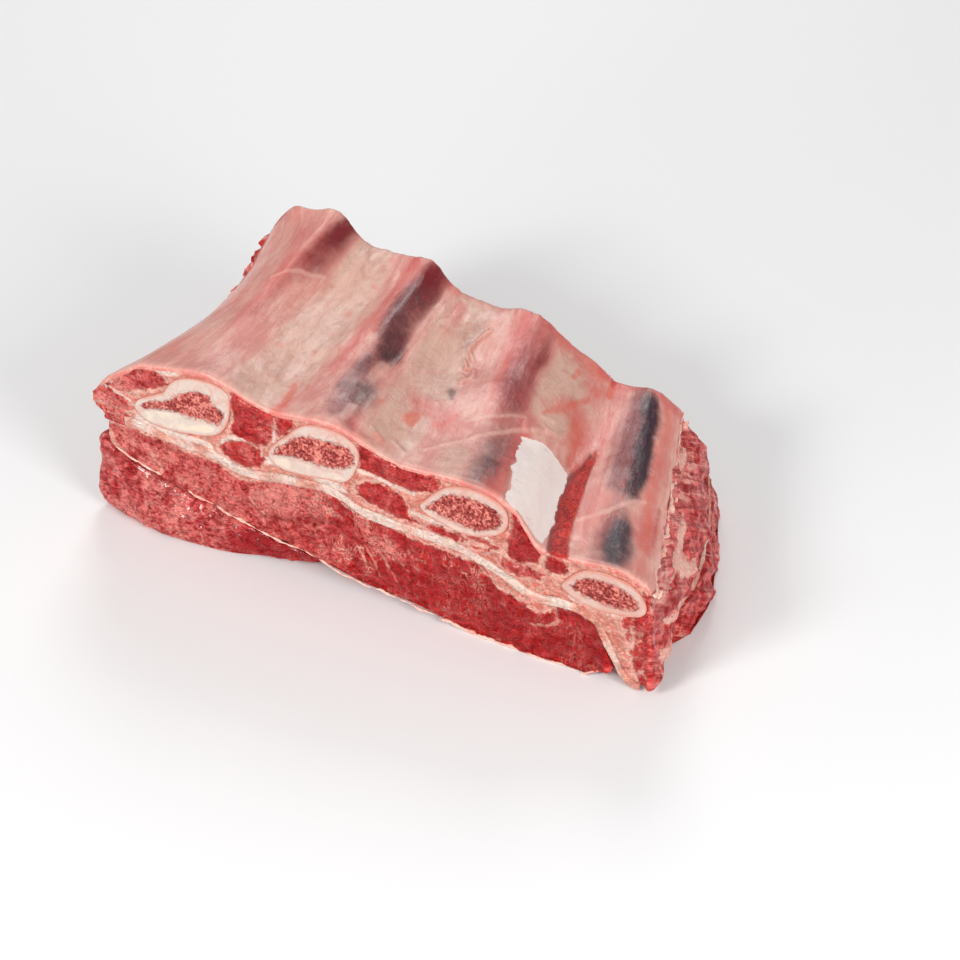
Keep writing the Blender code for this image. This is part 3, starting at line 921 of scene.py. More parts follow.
class Nodes:
    """The shader nodes of one material."""

    def __init__(self, name: str) -> None:
        """Starts an empty material.

        Args:
            name: The material's name.
        """
        self.material = bpy.data.materials.new(name)
        self.material.use_nodes = True
        self.tree = self.material.node_tree
        self.tree.nodes.clear()

    def add(
        self, kind: str, settings: dict | None = None, inputs: dict | None = None, out: int = 0
    ) -> Wire:
        """Adds a node.

        Args:
            kind: The node's type.
            settings: Its settings, set first.
            inputs: Values or wires of its sockets, by name or number.
            out: Number of the output wanted.

        Returns:
            That output.
        """
        node = self.tree.nodes.new(kind)
        for key, value in (settings or {}).items():
            setattr(node, key, value)
        for key, value in (inputs or {}).items():
            if isinstance(value, Wire):
                self.tree.links.new(value.socket, node.inputs[key])
            elif isinstance(value, tuple) and len(value) == 3 and len(node.inputs[key].default_value) == 4:
                node.inputs[key].default_value = (*value, 1.0)
            else:
                node.inputs[key].default_value = value
        return Wire(self, node.outputs[out] if node.outputs else None)

    def attribute(self, name: str) -> Wire:
        """The value of a surface attribute."""
        return self.add("ShaderNodeAttribute", {"attribute_name": name}, out=2)

    def place(self) -> Wire:
        """The slab place in millimetres, as a vector."""
        return self.add("ShaderNodeAttribute", {"attribute_name": "place"}, out=1)

    def stretched(self, vector: Wire, factors: tuple[float, float, float]) -> Wire:
        """The vector times a factor for each axis."""
        return self.add("ShaderNodeVectorMath", {"operation": "MULTIPLY"}, {0: vector, 1: factors})

    def along(self, vector: Wire, direction: tuple[float, float, float]) -> Wire:
        """How far the vector reaches along a direction."""
        inputs = {0: vector, 1: direction}
        return self.add("ShaderNodeVectorMath", {"operation": "DOT_PRODUCT"}, inputs, out=1)

    def noise(
        self, vector: Wire, size: float, detail: float = 2.0, rough: float = 0.5, bent: float = 0.0
    ) -> Wire:
        """Noise from 0 to 1.

        Args:
            vector: Where the noise is wanted, in millimetres.
            size: Width of its largest lumps in millimetres.
            detail: How many finer layers it has.
            rough: Height of each finer layer as a share of the one before.
            bent: How far the noise is bent by its own pattern.

        Returns:
            The noise.
        """
        inputs = {
            "Vector": vector,
            "Scale": 1.0 / size,
            "Detail": detail,
            "Roughness": rough,
            "Distortion": bent,
        }
        return self.add("ShaderNodeTexNoise", {"noise_dimensions": "3D"}, inputs)

    def cells(self, vector: Wire, size: float) -> Wire:
        """Distance inside cells of this size in millimetres."""
        inputs = {"Vector": vector, "Scale": 1.0 / size}
        return self.add("ShaderNodeTexVoronoi", {}, inputs)

    def between(self, value: Value, low: float, high: float) -> Wire:
        """Eases from 0 to 1 as the value goes from low to high."""
        inputs = {0: value, 1: low, 2: high, 3: 0.0, 4: 1.0}
        return self.add("ShaderNodeMapRange", {"interpolation_type": "SMOOTHSTEP"}, inputs)

    def blend(self, first: Wire | Colour, second: Wire | Colour, mask: Value) -> Wire:
        """Goes from the first colour to the second as the mask goes from 0 to 1."""
        settings = {"data_type": "RGBA", "clamp_factor": True}
        return self.add("ShaderNodeMix", settings, {0: mask, 6: first, 7: second}, out=2)

    def threads(self, noise: Wire, low: float, high: float) -> Wire:
        """1 along the lines where noise passes its middle, eased to 0 between two distances."""
        return 1.0 - self.between(abs(noise - 0.5), low, high)

    def bump(self, height: Wire, depth: float, strength: float = 1.0) -> Wire:
        """A normal raised by the height, 0 to 1, times a depth in millimetres."""
        inputs = {"Height": height, "Distance": depth * MM, "Strength": strength}
        return self.add("ShaderNodeBump", {}, inputs)

    def finished(self, inputs: dict) -> bpy.types.Material:
        """Closes the material with a Principled shader.

        Args:
            inputs: Values and wires of the shader's sockets, by name.

        Returns:
            The material.
        """
        shader = self.add("ShaderNodeBsdfPrincipled", {"subsurface_method": "RANDOM_WALK"}, inputs)
        self.add("ShaderNodeOutputMaterial", {}, {"Surface": shader})
        return self.material


@dataclass(frozen=True)
class MembraneFinish:
    """The moist, milky membrane over the bone side, with the ribs showing dark through it."""

    name: str = "membrane"
    blush: Colour = linear(208, 134, 124)
    pale: Colour = linear(222, 166, 152)
    cream: Colour = linear(212, 172, 154)
    olive: Colour = linear(196, 154, 138)
    rose: Colour = linear(206, 80, 76)
    plum: Colour = linear(116, 8, 24)
    slate: Colour = linear(34, 16, 34)
    ember: Colour = linear(214, 84, 60)
    torn: Colour = linear(212, 56, 44)
    blood: Colour = linear(156, 12, 14)
    fascia: Colour = linear(234, 184, 170)
    bare: Colour = linear(246, 228, 222)

    def material(self) -> bpy.types.Material:
        """Builds the material.

        Returns:
            A blush base, over which each attribute lays its tint with an edge broken by noise.
        """
        n = Nodes(self.name)
        place = n.place()
        runs = n.stretched(place, (1.0, 0.20, 1.0))
        slanted = n.add(
            "ShaderNodeCombineXYZ",
            {},
            {0: n.along(place, (0.62, -0.78, 0.0)), 1: n.along(place, (0.78, 0.62, 0.0)) * 0.12, 2: 0.0},
        )
        broad = n.noise(place, 18.0, 3.0, 0.5, 0.4)
        patch = n.noise(place, 5.0, 5.0, 0.62, 0.8)
        fine = n.noise(place, 1.0, 3.0, 0.6)
        streak = n.noise(runs, 2.4, 5.0, 0.62, 0.6)
        wisp = n.noise(slanted, 4.5, 6.0, 0.68, 1.2)
        wobble = (patch - 0.5) * 0.35 + (streak - 0.5) * 0.35

        def tinted(under: Wire, colour: Colour, key: str, amount: float, low: float, high: float) -> Wire:
            """Lays one attribute's colour over what is under it.

            Args:
                under: The colour below.
                colour: The colour laid on.
                key: The attribute.
                amount: Cover where the attribute is strongest.
                low: Value of the attribute at which the colour begins.
                high: Value at which it is strongest.

            Returns:
                The mixed colour.
            """
            cover = n.attribute(key)
            spread = cover + wobble * n.between(cover, 0.0, 0.3)
            return n.blend(under, colour, n.between(spread, low, high) * amount)

        base = n.blend(self.blush, self.pale, n.between(broad * 0.5 + streak * 0.5, 0.40, 0.62))
        cream = n.blend(self.cream, self.olive, n.between(patch * 0.6 + broad * 0.4, 0.44, 0.62))
        base = n.blend(base, cream, n.between(n.attribute("cream") + wobble, 0.05, 0.95) * 0.85)
        milk = n.between(wisp, 0.44, 0.80) * n.between(broad, 0.34, 0.60)
        base = n.blend(base, self.fascia, milk * 0.30)
        base = n.blend(base, self.rose, n.between(wisp * 0.5 + patch * 0.5, 0.53, 0.70) * 0.30)
        base = tinted(base, self.rose, "rose", 0.80, 0.1, 1.1)
        # The plum tint also holds the painted shade of the crevice beside the torn groove.
        base = tinted(base, self.plum, "plum", 0.96, 0.04, 1.0)
        base = tinted(base, self.slate, "slate", 0.96, 0.05, 0.95)
        base = tinted(base, self.ember, "ember", 0.70, 0.10, 1.1)
        base = n.blend(base, self.fascia, n.between(streak, 0.54, 0.76) * 0.22)
        base = tinted(base, self.fascia, "fascia", 0.55, 0.10, 1.2)
        thread = n.threads(n.noise(place, 9.0, 3.0, 0.6, 1.2), 0.0, 0.012)
        base = n.blend(base, self.rose, thread * n.between(broad, 0.45, 0.6) * 0.4)
        torn = n.between(n.attribute("torn") + wobble * 0.7 + (fine - 0.5) * 0.5, 0.18, 0.80)
        flesh = n.blend(self.blood, self.torn, n.between(fine * 0.5 + patch * 0.5, 0.40, 0.58))
        flesh = n.blend(flesh, self.fascia, n.between(streak * 0.5 + patch * 0.5, 0.56, 0.70) * 0.25)
        base = n.blend(base, flesh, torn)
        sliced = n.between(patch * 0.6 + fine * 0.4, 0.42, 0.56) * 0.8 + 0.15
        base = n.blend(base, n.blend(self.blush, flesh, 0.4), n.attribute("sliced") * sliced)
        bare = n.between(n.attribute("bare") + (patch - 0.5) * 0.7 + (fine - 0.5) * 0.5, 0.36, 0.64)
        chalk = n.blend(self.bare, self.blush, n.between(patch * 0.5 + wisp * 0.5, 0.56, 0.76) * 0.3)
        base = n.blend(base, chalk, bare)
        fleck = n.between(n.noise(place, 1.7, 1.0), 0.70, 0.75) * n.between(broad, 0.42, 0.6)
        base = n.blend(base, self.torn, fleck * 0.3)
        lumpy = streak * 0.4 + fine * 0.15 + patch * 0.45 + wisp * 0.3
        bump = n.bump(lumpy + torn * fine * 1.2, 0.9, 0.8)
        roughness = n.between(patch, 0.2, 0.8) * 0.16 + 0.30
        wet = n.between(broad + (fine - 0.5) * 0.5, 0.35, 0.65) * 0.2
        return n.finished(
            {
                "Base Color": base,
                "Roughness": roughness,
                "Coat Weight": wet + bare * 0.3 - torn * 0.1,
                "Coat Roughness": 0.22,
                "Specular IOR Level": 0.35,
                "Subsurface Weight": 0.2,
                "Subsurface Radius": (1.0, 0.4, 0.3),
                "Subsurface Scale": 0.002,
                "Normal": bump,
            }
        )


@dataclass(frozen=True)
class MeatFinish:
    """Raw cut meat: granular lean with specks and veins of fat, beside areas of plain fat.

    The lean attribute is the distance in millimetres into a muscle, and the vein attribute the
    distance from a vein of fat. Rosy is how pale a muscle is, and white how clean the fat is. The
    end attribute is 1 where fibres run down the right end. One more attribute darkens the lean: it
    holds painted shade in creases and under the seam, and the darker tone of some muscles.
    """

    name: str
    lean_dark: Colour = linear(150, 10, 14)
    lean_bright: Colour = linear(206, 48, 46)
    lean_pink: Colour = linear(232, 104, 98)
    fleck: Colour = linear(240, 158, 144)
    fat: Colour = linear(240, 180, 160)
    fat_white: Colour = linear(246, 216, 202)
    fat_pink: Colour = linear(226, 112, 96)
    blood: Colour = linear(184, 36, 32)
    speck_amount: float = 0.55
    net_amount: float = 0.35
    grain: tuple[float, float, float] = (1.0, 1.0, 1.0)
    coarse: float = 1.0

    def material(self) -> bpy.types.Material:
        """Builds the material.

        Returns:
            Fat and lean mixed by the lean attribute, with a granular bump on both.
        """
        n = Nodes(self.name)
        place = n.place()
        grained = n.stretched(place, self.grain)
        patch = n.noise(place, 10.0, 3.0, 0.5, 0.5)
        blotch = n.noise(place, 4.0, 4.0, 0.6, 0.6)
        crumb = n.noise(grained, 1.7 * self.coarse, 4.0, 0.68, 0.5)
        granule = n.cells(grained, 1.25 * self.coarse)
        fine = n.noise(grained, 0.5 * self.coarse, 2.0, 0.6)
        ragged = (n.noise(place, 2.8, 4.0, 0.66, 0.5) - 0.5) * 6.0
        end = n.attribute("end")
        down = n.along(place, (0.0, 0.78, -0.62))
        across = n.along(place, (0.0, 0.62, 0.78))
        fibre_place = n.add("ShaderNodeCombineXYZ", {}, {0: across, 1: down * 0.10, 2: 0.0})
        fibre = n.noise(fibre_place, 1.6, 4.0, 0.65, 0.4)

        rosy = n.attribute("rosy") + (patch - 0.5) * 1.5 + (blotch - 0.5) * 1.0 + (crumb - 0.5) * 0.6
        bright = n.blend(self.lean_bright, self.lean_pink, n.between(rosy, 0.15, 1.15))
        body = crumb * 0.45 + blotch * 0.35 + (1.0 - granule) * 0.20 + (patch - 0.5) * 0.25
        lean = n.blend(self.lean_dark, bright, n.between(body, 0.34, 0.58))
        cleft = n.noise(n.stretched(grained, (0.7, 1.0, 1.2)), 4.2 * self.coarse, 4.0, 0.6, 1.1)
        cleft = n.threads(cleft, 0.0, 0.035)
        # Painted shade: the clefts between bundles are darkened here, as well as sunk by the bump below.
        lean = n.blend(lean, self.lean_dark, cleft * 0.45)
        flecks = n.noise(grained, 1.1 * self.coarse, 4.0, 0.72, 0.3)
        specks = n.between(flecks + (rosy - 0.6) * 0.16 + (patch - 0.5) * 0.3, 0.56, 0.70)
        lean = n.blend(lean, self.fleck, specks * self.speck_amount)
        net = n.noise(n.stretched(place, (1.6, 1.0, 0.8)), 6.0, 5.0, 0.62, 1.0)
        threads = n.threads(net, 0.002, 0.03) * n.between(patch, 0.44, 0.60)
        white = n.attribute("white")
        lean = n.blend(lean, self.fat, threads * (white * 0.9 + self.net_amount))
        # Painted shade in the cut's creases and under the seam, and darker muscles, darken the lean here.
        lean = n.blend(lean, self.lean_dark, n.attribute("tone") * 0.8)
        streaks = n.between(fibre + (blotch - 0.5) * 0.6, 0.34, 0.60)
        end_bright = n.blend(self.lean_bright, self.lean_pink, n.between(rosy * 0.4 + blotch, 0.45, 0.85))
        end_lean = n.blend(self.lean_dark, end_bright, streaks)
        pale_streaks = n.between(fibre + (patch - 0.5) * 0.5 + (rosy - 0.5) * 0.12, 0.55, 0.72)
        end_lean = n.blend(end_lean, self.fat, pale_streaks * 0.7)
        end_lean = n.blend(end_lean, self.lean_dark, n.attribute("tone") * 0.7)
        lean = n.blend(lean, end_lean, end * 0.9)

        fat = n.blend(self.fat, self.fat_pink, n.between(crumb * 0.5 + blotch * 0.5, 0.42, 0.62) * 0.8)
        crease = n.noise(n.stretched(place, (0.45, 1.0, 1.1)), 3.2, 4.0, 0.6, 0.8)
        fat = n.blend(fat, self.blood, n.threads(crease, 0.003, 0.04) * 0.4)
        blush = n.between(patch * 0.4 + fine * 0.3 + blotch * 0.3, 0.48, 0.60)
        fat = n.blend(fat, self.fat_pink, blush * 0.8)
        fat = n.blend(fat, self.fat_white, n.between(white + (crumb - 0.5) * 0.6, 0.25, 0.8))
        depth = n.attribute("lean") + ragged + (fibre - 0.5) * end * 7.0
        base = n.blend(fat, lean, n.between(depth, -0.7, 0.9))
        rind = (1.0 - n.between(abs(depth + 0.7), 0.1, 0.8)) * (1.0 - end)
        base = n.blend(base, self.fat_white, rind * 0.35)
        vein = 1.0 - n.between(n.attribute("vein") + ragged * 0.45, -0.3, 0.7)
        base = n.blend(base, self.fat, vein * 0.65)
        grit = crumb * 0.6 + (1.0 - granule) * 0.25 + fine * 0.35 - cleft * 0.18
        bump = n.bump(grit * (1.0 - end * 0.6) + fibre * end * 0.5, 2.2, 1.0)
        return n.finished(
            {
                "Base Color": base,
                "Roughness": n.between(crumb, 0.3, 0.7) * 0.2 + 0.32,
                "Coat Weight": n.between(blotch * 0.5 + fine * 0.5, 0.44, 0.60) * 0.85,
                "Coat Roughness": 0.09,
                "Specular IOR Level": 0.15,
                "Subsurface Weight": 0.1,
                "Subsurface Radius": (1.0, 0.25, 0.2),
                "Subsurface Scale": 0.0012,
                "Normal": bump,
            }
        )


@dataclass(frozen=True)
class FatFinish:
    """Raw white to pink fat with fine creases along its layer."""

    name: str = "trimmed_fat"
    white: Colour = linear(238, 196, 180)
    pink: Colour = linear(226, 140, 124)
    blood: Colour = linear(196, 84, 74)

    def material(self) -> bpy.types.Material:
        """Builds the material.

        Returns:
            White fat with pink patches and creases that run along the seam.
        """
        n = Nodes(self.name)
        place = n.place()
        runs = n.stretched(place, (0.22, 0.22, 1.6))
        crease = n.noise(runs, 1.2, 4.0, 0.6)
        patch = n.noise(place, 5.0, 3.0)
        fine = n.noise(place, 0.8, 3.0, 0.6)
        base = n.blend(self.white, self.pink, n.between(patch * 0.6 + crease * 0.4, 0.46, 0.66))
        base = n.blend(base, self.blood, n.threads(crease, 0.01, 0.05) * 0.35)
        base = n.blend(base, self.blood, n.between(patch + (fine - 0.5) * 0.4, 0.66, 0.8) * 0.6)
        return n.finished(
            {
                "Base Color": base,
                "Roughness": fine * 0.2 + 0.34,
                "Coat Weight": n.between(patch, 0.4, 0.7) * 0.3,
                "Coat Roughness": 0.2,
                "Subsurface Weight": 0.25,
                "Subsurface Radius": (1.0, 0.5, 0.4),
                "Subsurface Scale": 0.002,
                "Normal": n.bump(crease * 0.7 + fine * 0.3, 0.5, 0.7),
            }
        )


@dataclass(frozen=True)
class SawnFinish:
    """Sawn rib: hard white bone, smooth cream marrow and a dark red sponge with pits.

    Its attributes are distances in millimetres into the sponge, into the marrow, and in from the
    bone's outside.
    """

    name: str
    white: Colour = linear(204, 186, 175)
    cream: Colour = linear(220, 202, 182)
    pink: Colour = linear(204, 118, 100)
    thread: Colour = linear(222, 142, 126)
    blood: Colour = linear(168, 54, 48)
    pit: Colour = linear(96, 10, 14)

    def material(self) -> bpy.types.Material:
        """Builds the material.

        Returns:
            Hard bone and sponge mixed along a crumbled border, with a pink outer rim.
        """
        n = Nodes(self.name)
        place = n.place()
        patch = n.noise(place, 6.0, 3.0, 0.5, 0.5)
        crumb = n.noise(place, 1.5, 4.0, 0.65, 0.5)
        fine = n.noise(place, 0.6, 3.0, 0.6)
        saw = n.noise(n.stretched(place, (0.08, 1.0, 1.4)), 0.7, 2.0)
        stain = n.between(crumb * 0.5 + patch * 0.5 + n.attribute("rosy") * 0.12, 0.44, 0.64)
        hard = n.blend(self.white, self.pink, stain * 0.5)
        marrow = n.between(n.attribute("marrow") + (crumb - 0.5) * 2.0, -0.3, 0.7)
        smooth = n.blend(self.cream, self.white, n.between(patch, 0.40, 0.60))
        hard = n.blend(hard, smooth, marrow * (1.0 - n.attribute("rosy")))
        rim = 1.0 - n.between(n.attribute("shell") + (crumb - 0.5) * 2.4, -0.2, 1.0)
        hard = n.blend(hard, self.pink, rim * 0.75)
        grain = n.noise(place, 0.9, 3.0, 0.7, 0.4)
        body = grain * 0.65 + n.cells(place, 1.1) * 0.45 + (patch - 0.5) * 0.5
        body = body - n.attribute("rosy") * 0.05
        soft = n.blend(self.pit, self.blood, n.between(body, 0.32, 0.52))
        soft = n.blend(soft, self.thread, n.between(body + (fine - 0.5) * 0.8, 0.50, 0.74) * 0.85)
        sponge = n.between(n.attribute("sponge") + (crumb - 0.5) * 4.0 + (fine - 0.5) * 2.0, -0.3, 0.9)
        base = n.blend(hard, soft, sponge)
        pits = n.between(body, 0.36, 0.60) * sponge
        return n.finished(
            {
                "Base Color": base,
                "Roughness": fine * 0.2 + 0.38,
                "Coat Weight": n.between(patch, 0.40, 0.65) * 0.25,
                "Coat Roughness": 0.15,
                "Specular IOR Level": 0.35,
                "Subsurface Weight": 0.12,
                "Subsurface Radius": (1.0, 0.6, 0.45),
                "Subsurface Scale": 0.0012,
                "Normal": n.bump(pits * 0.8 + saw * 0.2 + fine * 0.2 + crumb * 0.3, 0.5, 0.8),
            }
        )


@dataclass(frozen=True)
class FloorFinish:
    """A plain pale table top."""

    name: str = "pale_table"
    colour: Colour = (0.86, 0.86, 0.86)

    def material(self) -> bpy.types.Material:
        """Builds the material."""
        n = Nodes(self.name)
        return n.finished({"Base Color": self.colour, "Roughness": 0.6, "Specular IOR Level": 0.2})


@dataclass(frozen=True)
class RightEnd:
    """The look of the right end.

    Outlines are (distance from the near cut in mm, share of the height). A full height counts as 45
    where distances to them are taken.
    """

    fat: tuple[Points, ...] = (
        ((8, 0.86), (12, 0.87), (16, 0.83), (14, 0.80), (9, 0.81)),
        ((31, 0.72), (40, 0.76), (50, 0.785), (63, 0.76), (64, 0.73), (54, 0.69), (47, 0.66), (45, 0.60),
         (53, 0.49), (55, 0.44), (49, 0.43), (42, 0.50), (36, 0.58), (33, 0.66)),
        ((8, 0.715), (31, 0.705), (31, 0.68), (8, 0.70)),
        ((11, 0.53), (20, 0.50), (32, 0.46), (36, 0.39), (34, 0.33), (24, 0.36), (15, 0.44)),
        ((5, 0.38), (11, 0.37), (14, 0.25), (13, 0.17), (7, 0.18), (6, 0.28)),
        ((70, 0.99), (99, 0.995), (100, 0.91), (90, 0.905), (80, 0.945)),
        ((69, 0.88), (80, 0.89), (91, 0.85), (91, 0.80), (80, 0.82)),
    )
    wine: Points = ((5, 0.67), (20, 0.68), (29, 0.66), (31, 0.57), (28, 0.51), (12, 0.53))
    tall: float = 45

    def depth(self, outline: Points, x: Array, y: Array) -> Array:
        """Distance into one of the outlines, at places whose heights are shares of the full height."""
        return inside(tuple((along, share * self.tall) for along, share in outline), x, y)

    def dress(self, skin: Skin, end: Array) -> Array:
        """Lays the right end's fat, dark muscle and streaks over a piece's own attributes.

        Args:
            skin: The piece, which already has its lean, tone and rosy attributes.
            end: 1 on the right end and 0 elsewhere.

        Returns:
            The relief of the fibre bundles, which run down towards the far cut.
        """
        _, along, height = skin.place.T
        share = skin.z / SLAB.roof(SLAB.right_top, skin.v)
        across, down = along * 0.62 + height * 0.78, along * 0.78 - height * 0.62
        bundles = Grain(43)(np.stack([0 * along, across, down * 0.12], axis=1), 4.0, 3)
        drift = Grain(48)(skin.place, 5.0, 3)
        x, y = along + 1.2 * drift, share * self.tall + 0.9 * drift
        fat = np.maximum.reduce([self.depth(outline, x, y) for outline in self.fat])
        looks = {
            "lean": np.clip(0.5 - fat * 1.5, -DEEP_MM, DEEP_MM),
            "tone": smooth_step(self.depth(self.wine, x, y) / 2 + 0.5) * 0.6,
            "rosy": 0.3 + 0.9 * smooth_step((share - 0.6) / 0.2),
            "white": 0.45,
        }
        for key, value in looks.items():
            skin.attributes[key] = mix(skin.attributes[key], value, end)
        return bundles + 0.5 * smooth_step(fat)


@dataclass(frozen=True)
class Membrane:
    """The sheet over the bone side, torn off one patch, with the ribs showing through it.

    Strokes and outlines are in millimetres: u, then the distance from the near cut.
    """

    thickness: float = 0.0017
    proud: float = 0.0001
    left: float = -0.1085
    right: float = 0.1118
    steps: tuple[float, float, float] = (0.00076, 0.00076, 0.0005)
    plum: tuple[Stroke, ...] = (
        Stroke(((-60, 105, 3.8, 0.9), (-60.5, 97, 4.6), (-61, 88, 5.2, 0.75), (-62, 78, 5.0, 0.65),
                (-64, 70, 3.6, 0.5), (-67, 62, 2.4, 0.35), (-67, 42, 2.0, 0.3)), 1.0, 0.8),
        Stroke(((-12.5, 105, 4.5, 0.9), (-14, 98, 5), (-14.5, 82, 6.4, 0.8), (-14, 66, 6.4, 0.7),
                (-12.5, 55, 5.4, 0.65), (-14, 42, 4.6, 0.65), (-14.5, 25, 4.4, 0.6), (-13, 8, 4.4, 0.5)),
               1.0, 0.8),
        Stroke(((42, 105, 6, 0.3), (42, 90, 8, 0.5), (42, 70, 8, 0.75), (43, 55, 7.5, 0.75),
                (44, 44, 6.5, 0.5), (45, 30, 6, 0.6), (45, 3, 5.5, 0.5)), 0.95, 0.9),
        Stroke(((46.5, 100, 2.5, 0.5), (46.5, 80, 2.8, 0.9), (46, 60, 2.5, 0.7)), 0.85, 0.8),
        Stroke(((94, 104, 4, 0.4), (93.5, 92, 6, 0.9), (93, 80, 7), (92.5, 60, 7, 0.95),
                (92.5, 46, 6.5, 0.9), (93, 38, 4, 0.5), (92, 18, 5.4, 0.85), (92, 3, 4, 0.5)), 0.95, 0.85),
        Stroke(((52, 40, 1.4, 0.3), (52.5, 20, 1.6, 0.5), (55, 5, 1.4, 0.4)), 0.8),
    )
    slate: tuple[Stroke, ...] = (
        Stroke(((-14, 95, 3.6, 0.2), (-15, 84, 5.4, 0.45), (-14.5, 70, 5.6, 0.5), (-12.5, 58, 5, 0.6),
                (-11, 50, 4.6, 0.7), (-10, 45, 3.5, 0.4)), 1.0, 0.8),
        Stroke(((-9, 35, 4, 0.4), (-9, 24, 6, 0.75), (-9.5, 12, 5, 0.6)), 0.9, 0.9),
        Stroke(((-15, 16, 3.4, 0.3), (-10, 7, 3.8, 0.5), (-6, 4, 3.0, 0.4)), 0.95, 0.9),
        Stroke(((-15, 44, 3.2, 0.5), (-15, 20, 3.2, 0.45)), 0.9, 0.8),
        Stroke(((-61, 26, 9), (-61, 4, 9)), 0.16, 0.9),
        Stroke(((45, 34, 5, 0.3), (45, 18, 6, 0.65), (45, 5, 5, 0.5)), 0.9, 0.9),
        Stroke(((12, 92, 4.5), (14, 80, 5), (15, 68, 3.5, 0.4)), 0.26, 0.9),
        Stroke(((96, 100, 3.4, 0.5), (97, 93, 4.6, 0.9), (98, 84, 3.6, 0.85), (99, 72, 4.2),
                (99, 57, 4.4), (98.5, 44, 4.0, 0.8), (98, 36, 2.8, 0.3)), 1.0, 0.7),
        Stroke(((97.5, 33, 3.6, 0.4), (97.5, 25, 4.8, 0.85), (97, 13, 5.6, 0.95), (97, 6, 4.6, 0.8),
                (97, 0, 3, 0.2)), 1.0, 0.7),
        Stroke(((18.5, 48, 2.0), (20.5, 43, 1.6)), 0.55, 0.8),
    )
    rose: tuple[Stroke, ...] = (
        Stroke(((-76, 104, 7, 0.4), (-75, 92, 9, 0.6), (-74, 79, 9, 0.7), (-72, 66, 7, 0.8)), 0.95, 0.9),
        Stroke(((-64, 92, 4, 0.6), (-66, 74, 5, 0.8), (-72, 58, 6, 0.7), (-73, 45, 7, 0.7),
                (-72, 33, 6, 0.4)), 0.9, 0.9),
        Stroke(((-94, 92, 5, 0.7), (-92, 60, 5, 0.5), (-92, 30, 5, 0.5)), 0.6, 0.9),
        Stroke(((-24, 100, 3.5), (-24, 60, 3.5, 0.9), (-24, 30, 3.2, 0.7)), 0.8, 0.8),
        Stroke(((-34, 20, 3.5, 0.4), (-31, 2, 5, 0.8)), 0.9, 0.9),
        Stroke(((2.5, 95, 3.5), (3, 76, 3.5, 0.5)), 0.8, 0.8),
        Stroke(((34, 105, 6, 0.8), (35, 80, 6), (37, 60, 6, 0.8), (40, 46, 6, 0.7)), 1.0, 0.9),
        Stroke(((42, 96, 8), (43, 60, 8)), 0.6, 0.9),
        Stroke(((51, 50, 3.6, 0.7), (51, 30, 3.6), (50.5, 4, 3.2)), 0.95, 0.8),
        Stroke(((84, 103, 6), (84, 60, 5.5), (84, 10, 5)), 0.45, 0.9),
        Stroke(((105.5, 100, 4, 0.5), (106, 60, 4, 0.7), (107, 20, 4)), 0.8, 0.9),
        Stroke(((-18, 97, 4), (-20, 60, 3)), 0.7, 0.8),
        Stroke(((-13, 105, 6, 0.8), (30, 105, 4, 0.5), (42, 105, 7), (72, 104, 5), (108, 102, 5)),
               0.8, 0.9),
        Stroke(((0, 44, 5, 0.5), (9, 36, 7, 0.9), (22, 32, 7, 0.9), (30, 26, 5, 0.5)), 0.8, 0.9),
        Stroke(((-10, 12, 5), (-4, 4, 5), (14, 2, 3, 0.5)), 0.7, 0.9),
        Stroke(((57, 66, 5, 0.6), (66, 74, 6), (72, 66, 6), (73, 50, 4)), 0.8, 0.9),
        Stroke(((62, 100, 7), (72, 92, 6)), 0.6, 0.9),
        Stroke(((81, 100, 3), (80, 60, 3)), 0.6, 0.9),
    )
    cream: tuple[Stroke, ...] = (
        Stroke(((-45, 103, 9), (-42, 74, 12), (-41, 42, 12), (-42, 10, 11)), 1.0, 0.5),
        Stroke(((8, 101, 9), (8, 63, 12), (9, 31, 11), (8, 6, 9)), 1.0, 0.5),
        Stroke(((60, 98, 9), (58, 62, 8)), 1.0, 0.5),
        Stroke(((33, 14, 6), (33, 4, 6)), 0.6),
        Stroke(((70, 78, 5), (71, 50, 4)), 0.7),
    )
    ember: tuple[Stroke, ...] = (
        Stroke(((-36, 100, 2.4),), 0.6), Stroke(((-36, 84, 2.2),), 0.6), Stroke(((-37, 66, 2.4),), 0.6),
        Stroke(((-52, 74, 1.6),), 0.5), Stroke(((-37, 38, 1.8),), 0.7), Stroke(((-50, 31, 1.6),), 0.5),
        Stroke(((-28, 21, 1.4),), 0.6),
        Stroke(((-34, 16, 1.9), (-31, 5, 2.6), (-33, 0, 2.4)), 0.9),
        Stroke(((10.5, 28, 2.4), (10, 23, 3.4)), 0.95), Stroke(((20.5, 28, 2.0),), 0.8),
        Stroke(((26, 36, 1.4), (25, 33, 1.2)), 0.7), Stroke(((-2, 26, 1.8),), 0.6),
        Stroke(((19, 90, 1.2), (17, 76, 1.2), (19, 66, 2.0), (21, 55, 1.6)), 0.55),
        Stroke(((70, 86, 1.2), (61, 70, 1.6), (56, 61, 1.2)), 0.7),
        Stroke(((63, 93, 1.6), (62, 88, 1.4)), 0.8), Stroke(((71, 93, 1.5),), 0.7),
        Stroke(((77.5, 100, 1.8), (77, 94, 1.8)), 0.9),
        Stroke(((33.5, 80, 0.9), (33.5, 47, 0.9)), 0.7),
        Stroke(((81, 85, 0.9), (81, 56, 1.0)), 0.7),
        Stroke(((67, 68, 3.4), (70, 58, 4), (71, 50, 3)), 0.7, 0.9),
        Stroke(((105, 98, 2.4), (106, 70, 2.4), (107, 30, 2.6), (106, 6, 2)), 0.5, 0.9),
        Stroke(((72, 101, 3), (62, 100, 2.4)), 0.6, 0.9),
        Stroke(((4, 8, 1.5), (8, 5, 1.6)), 0.5),
    )
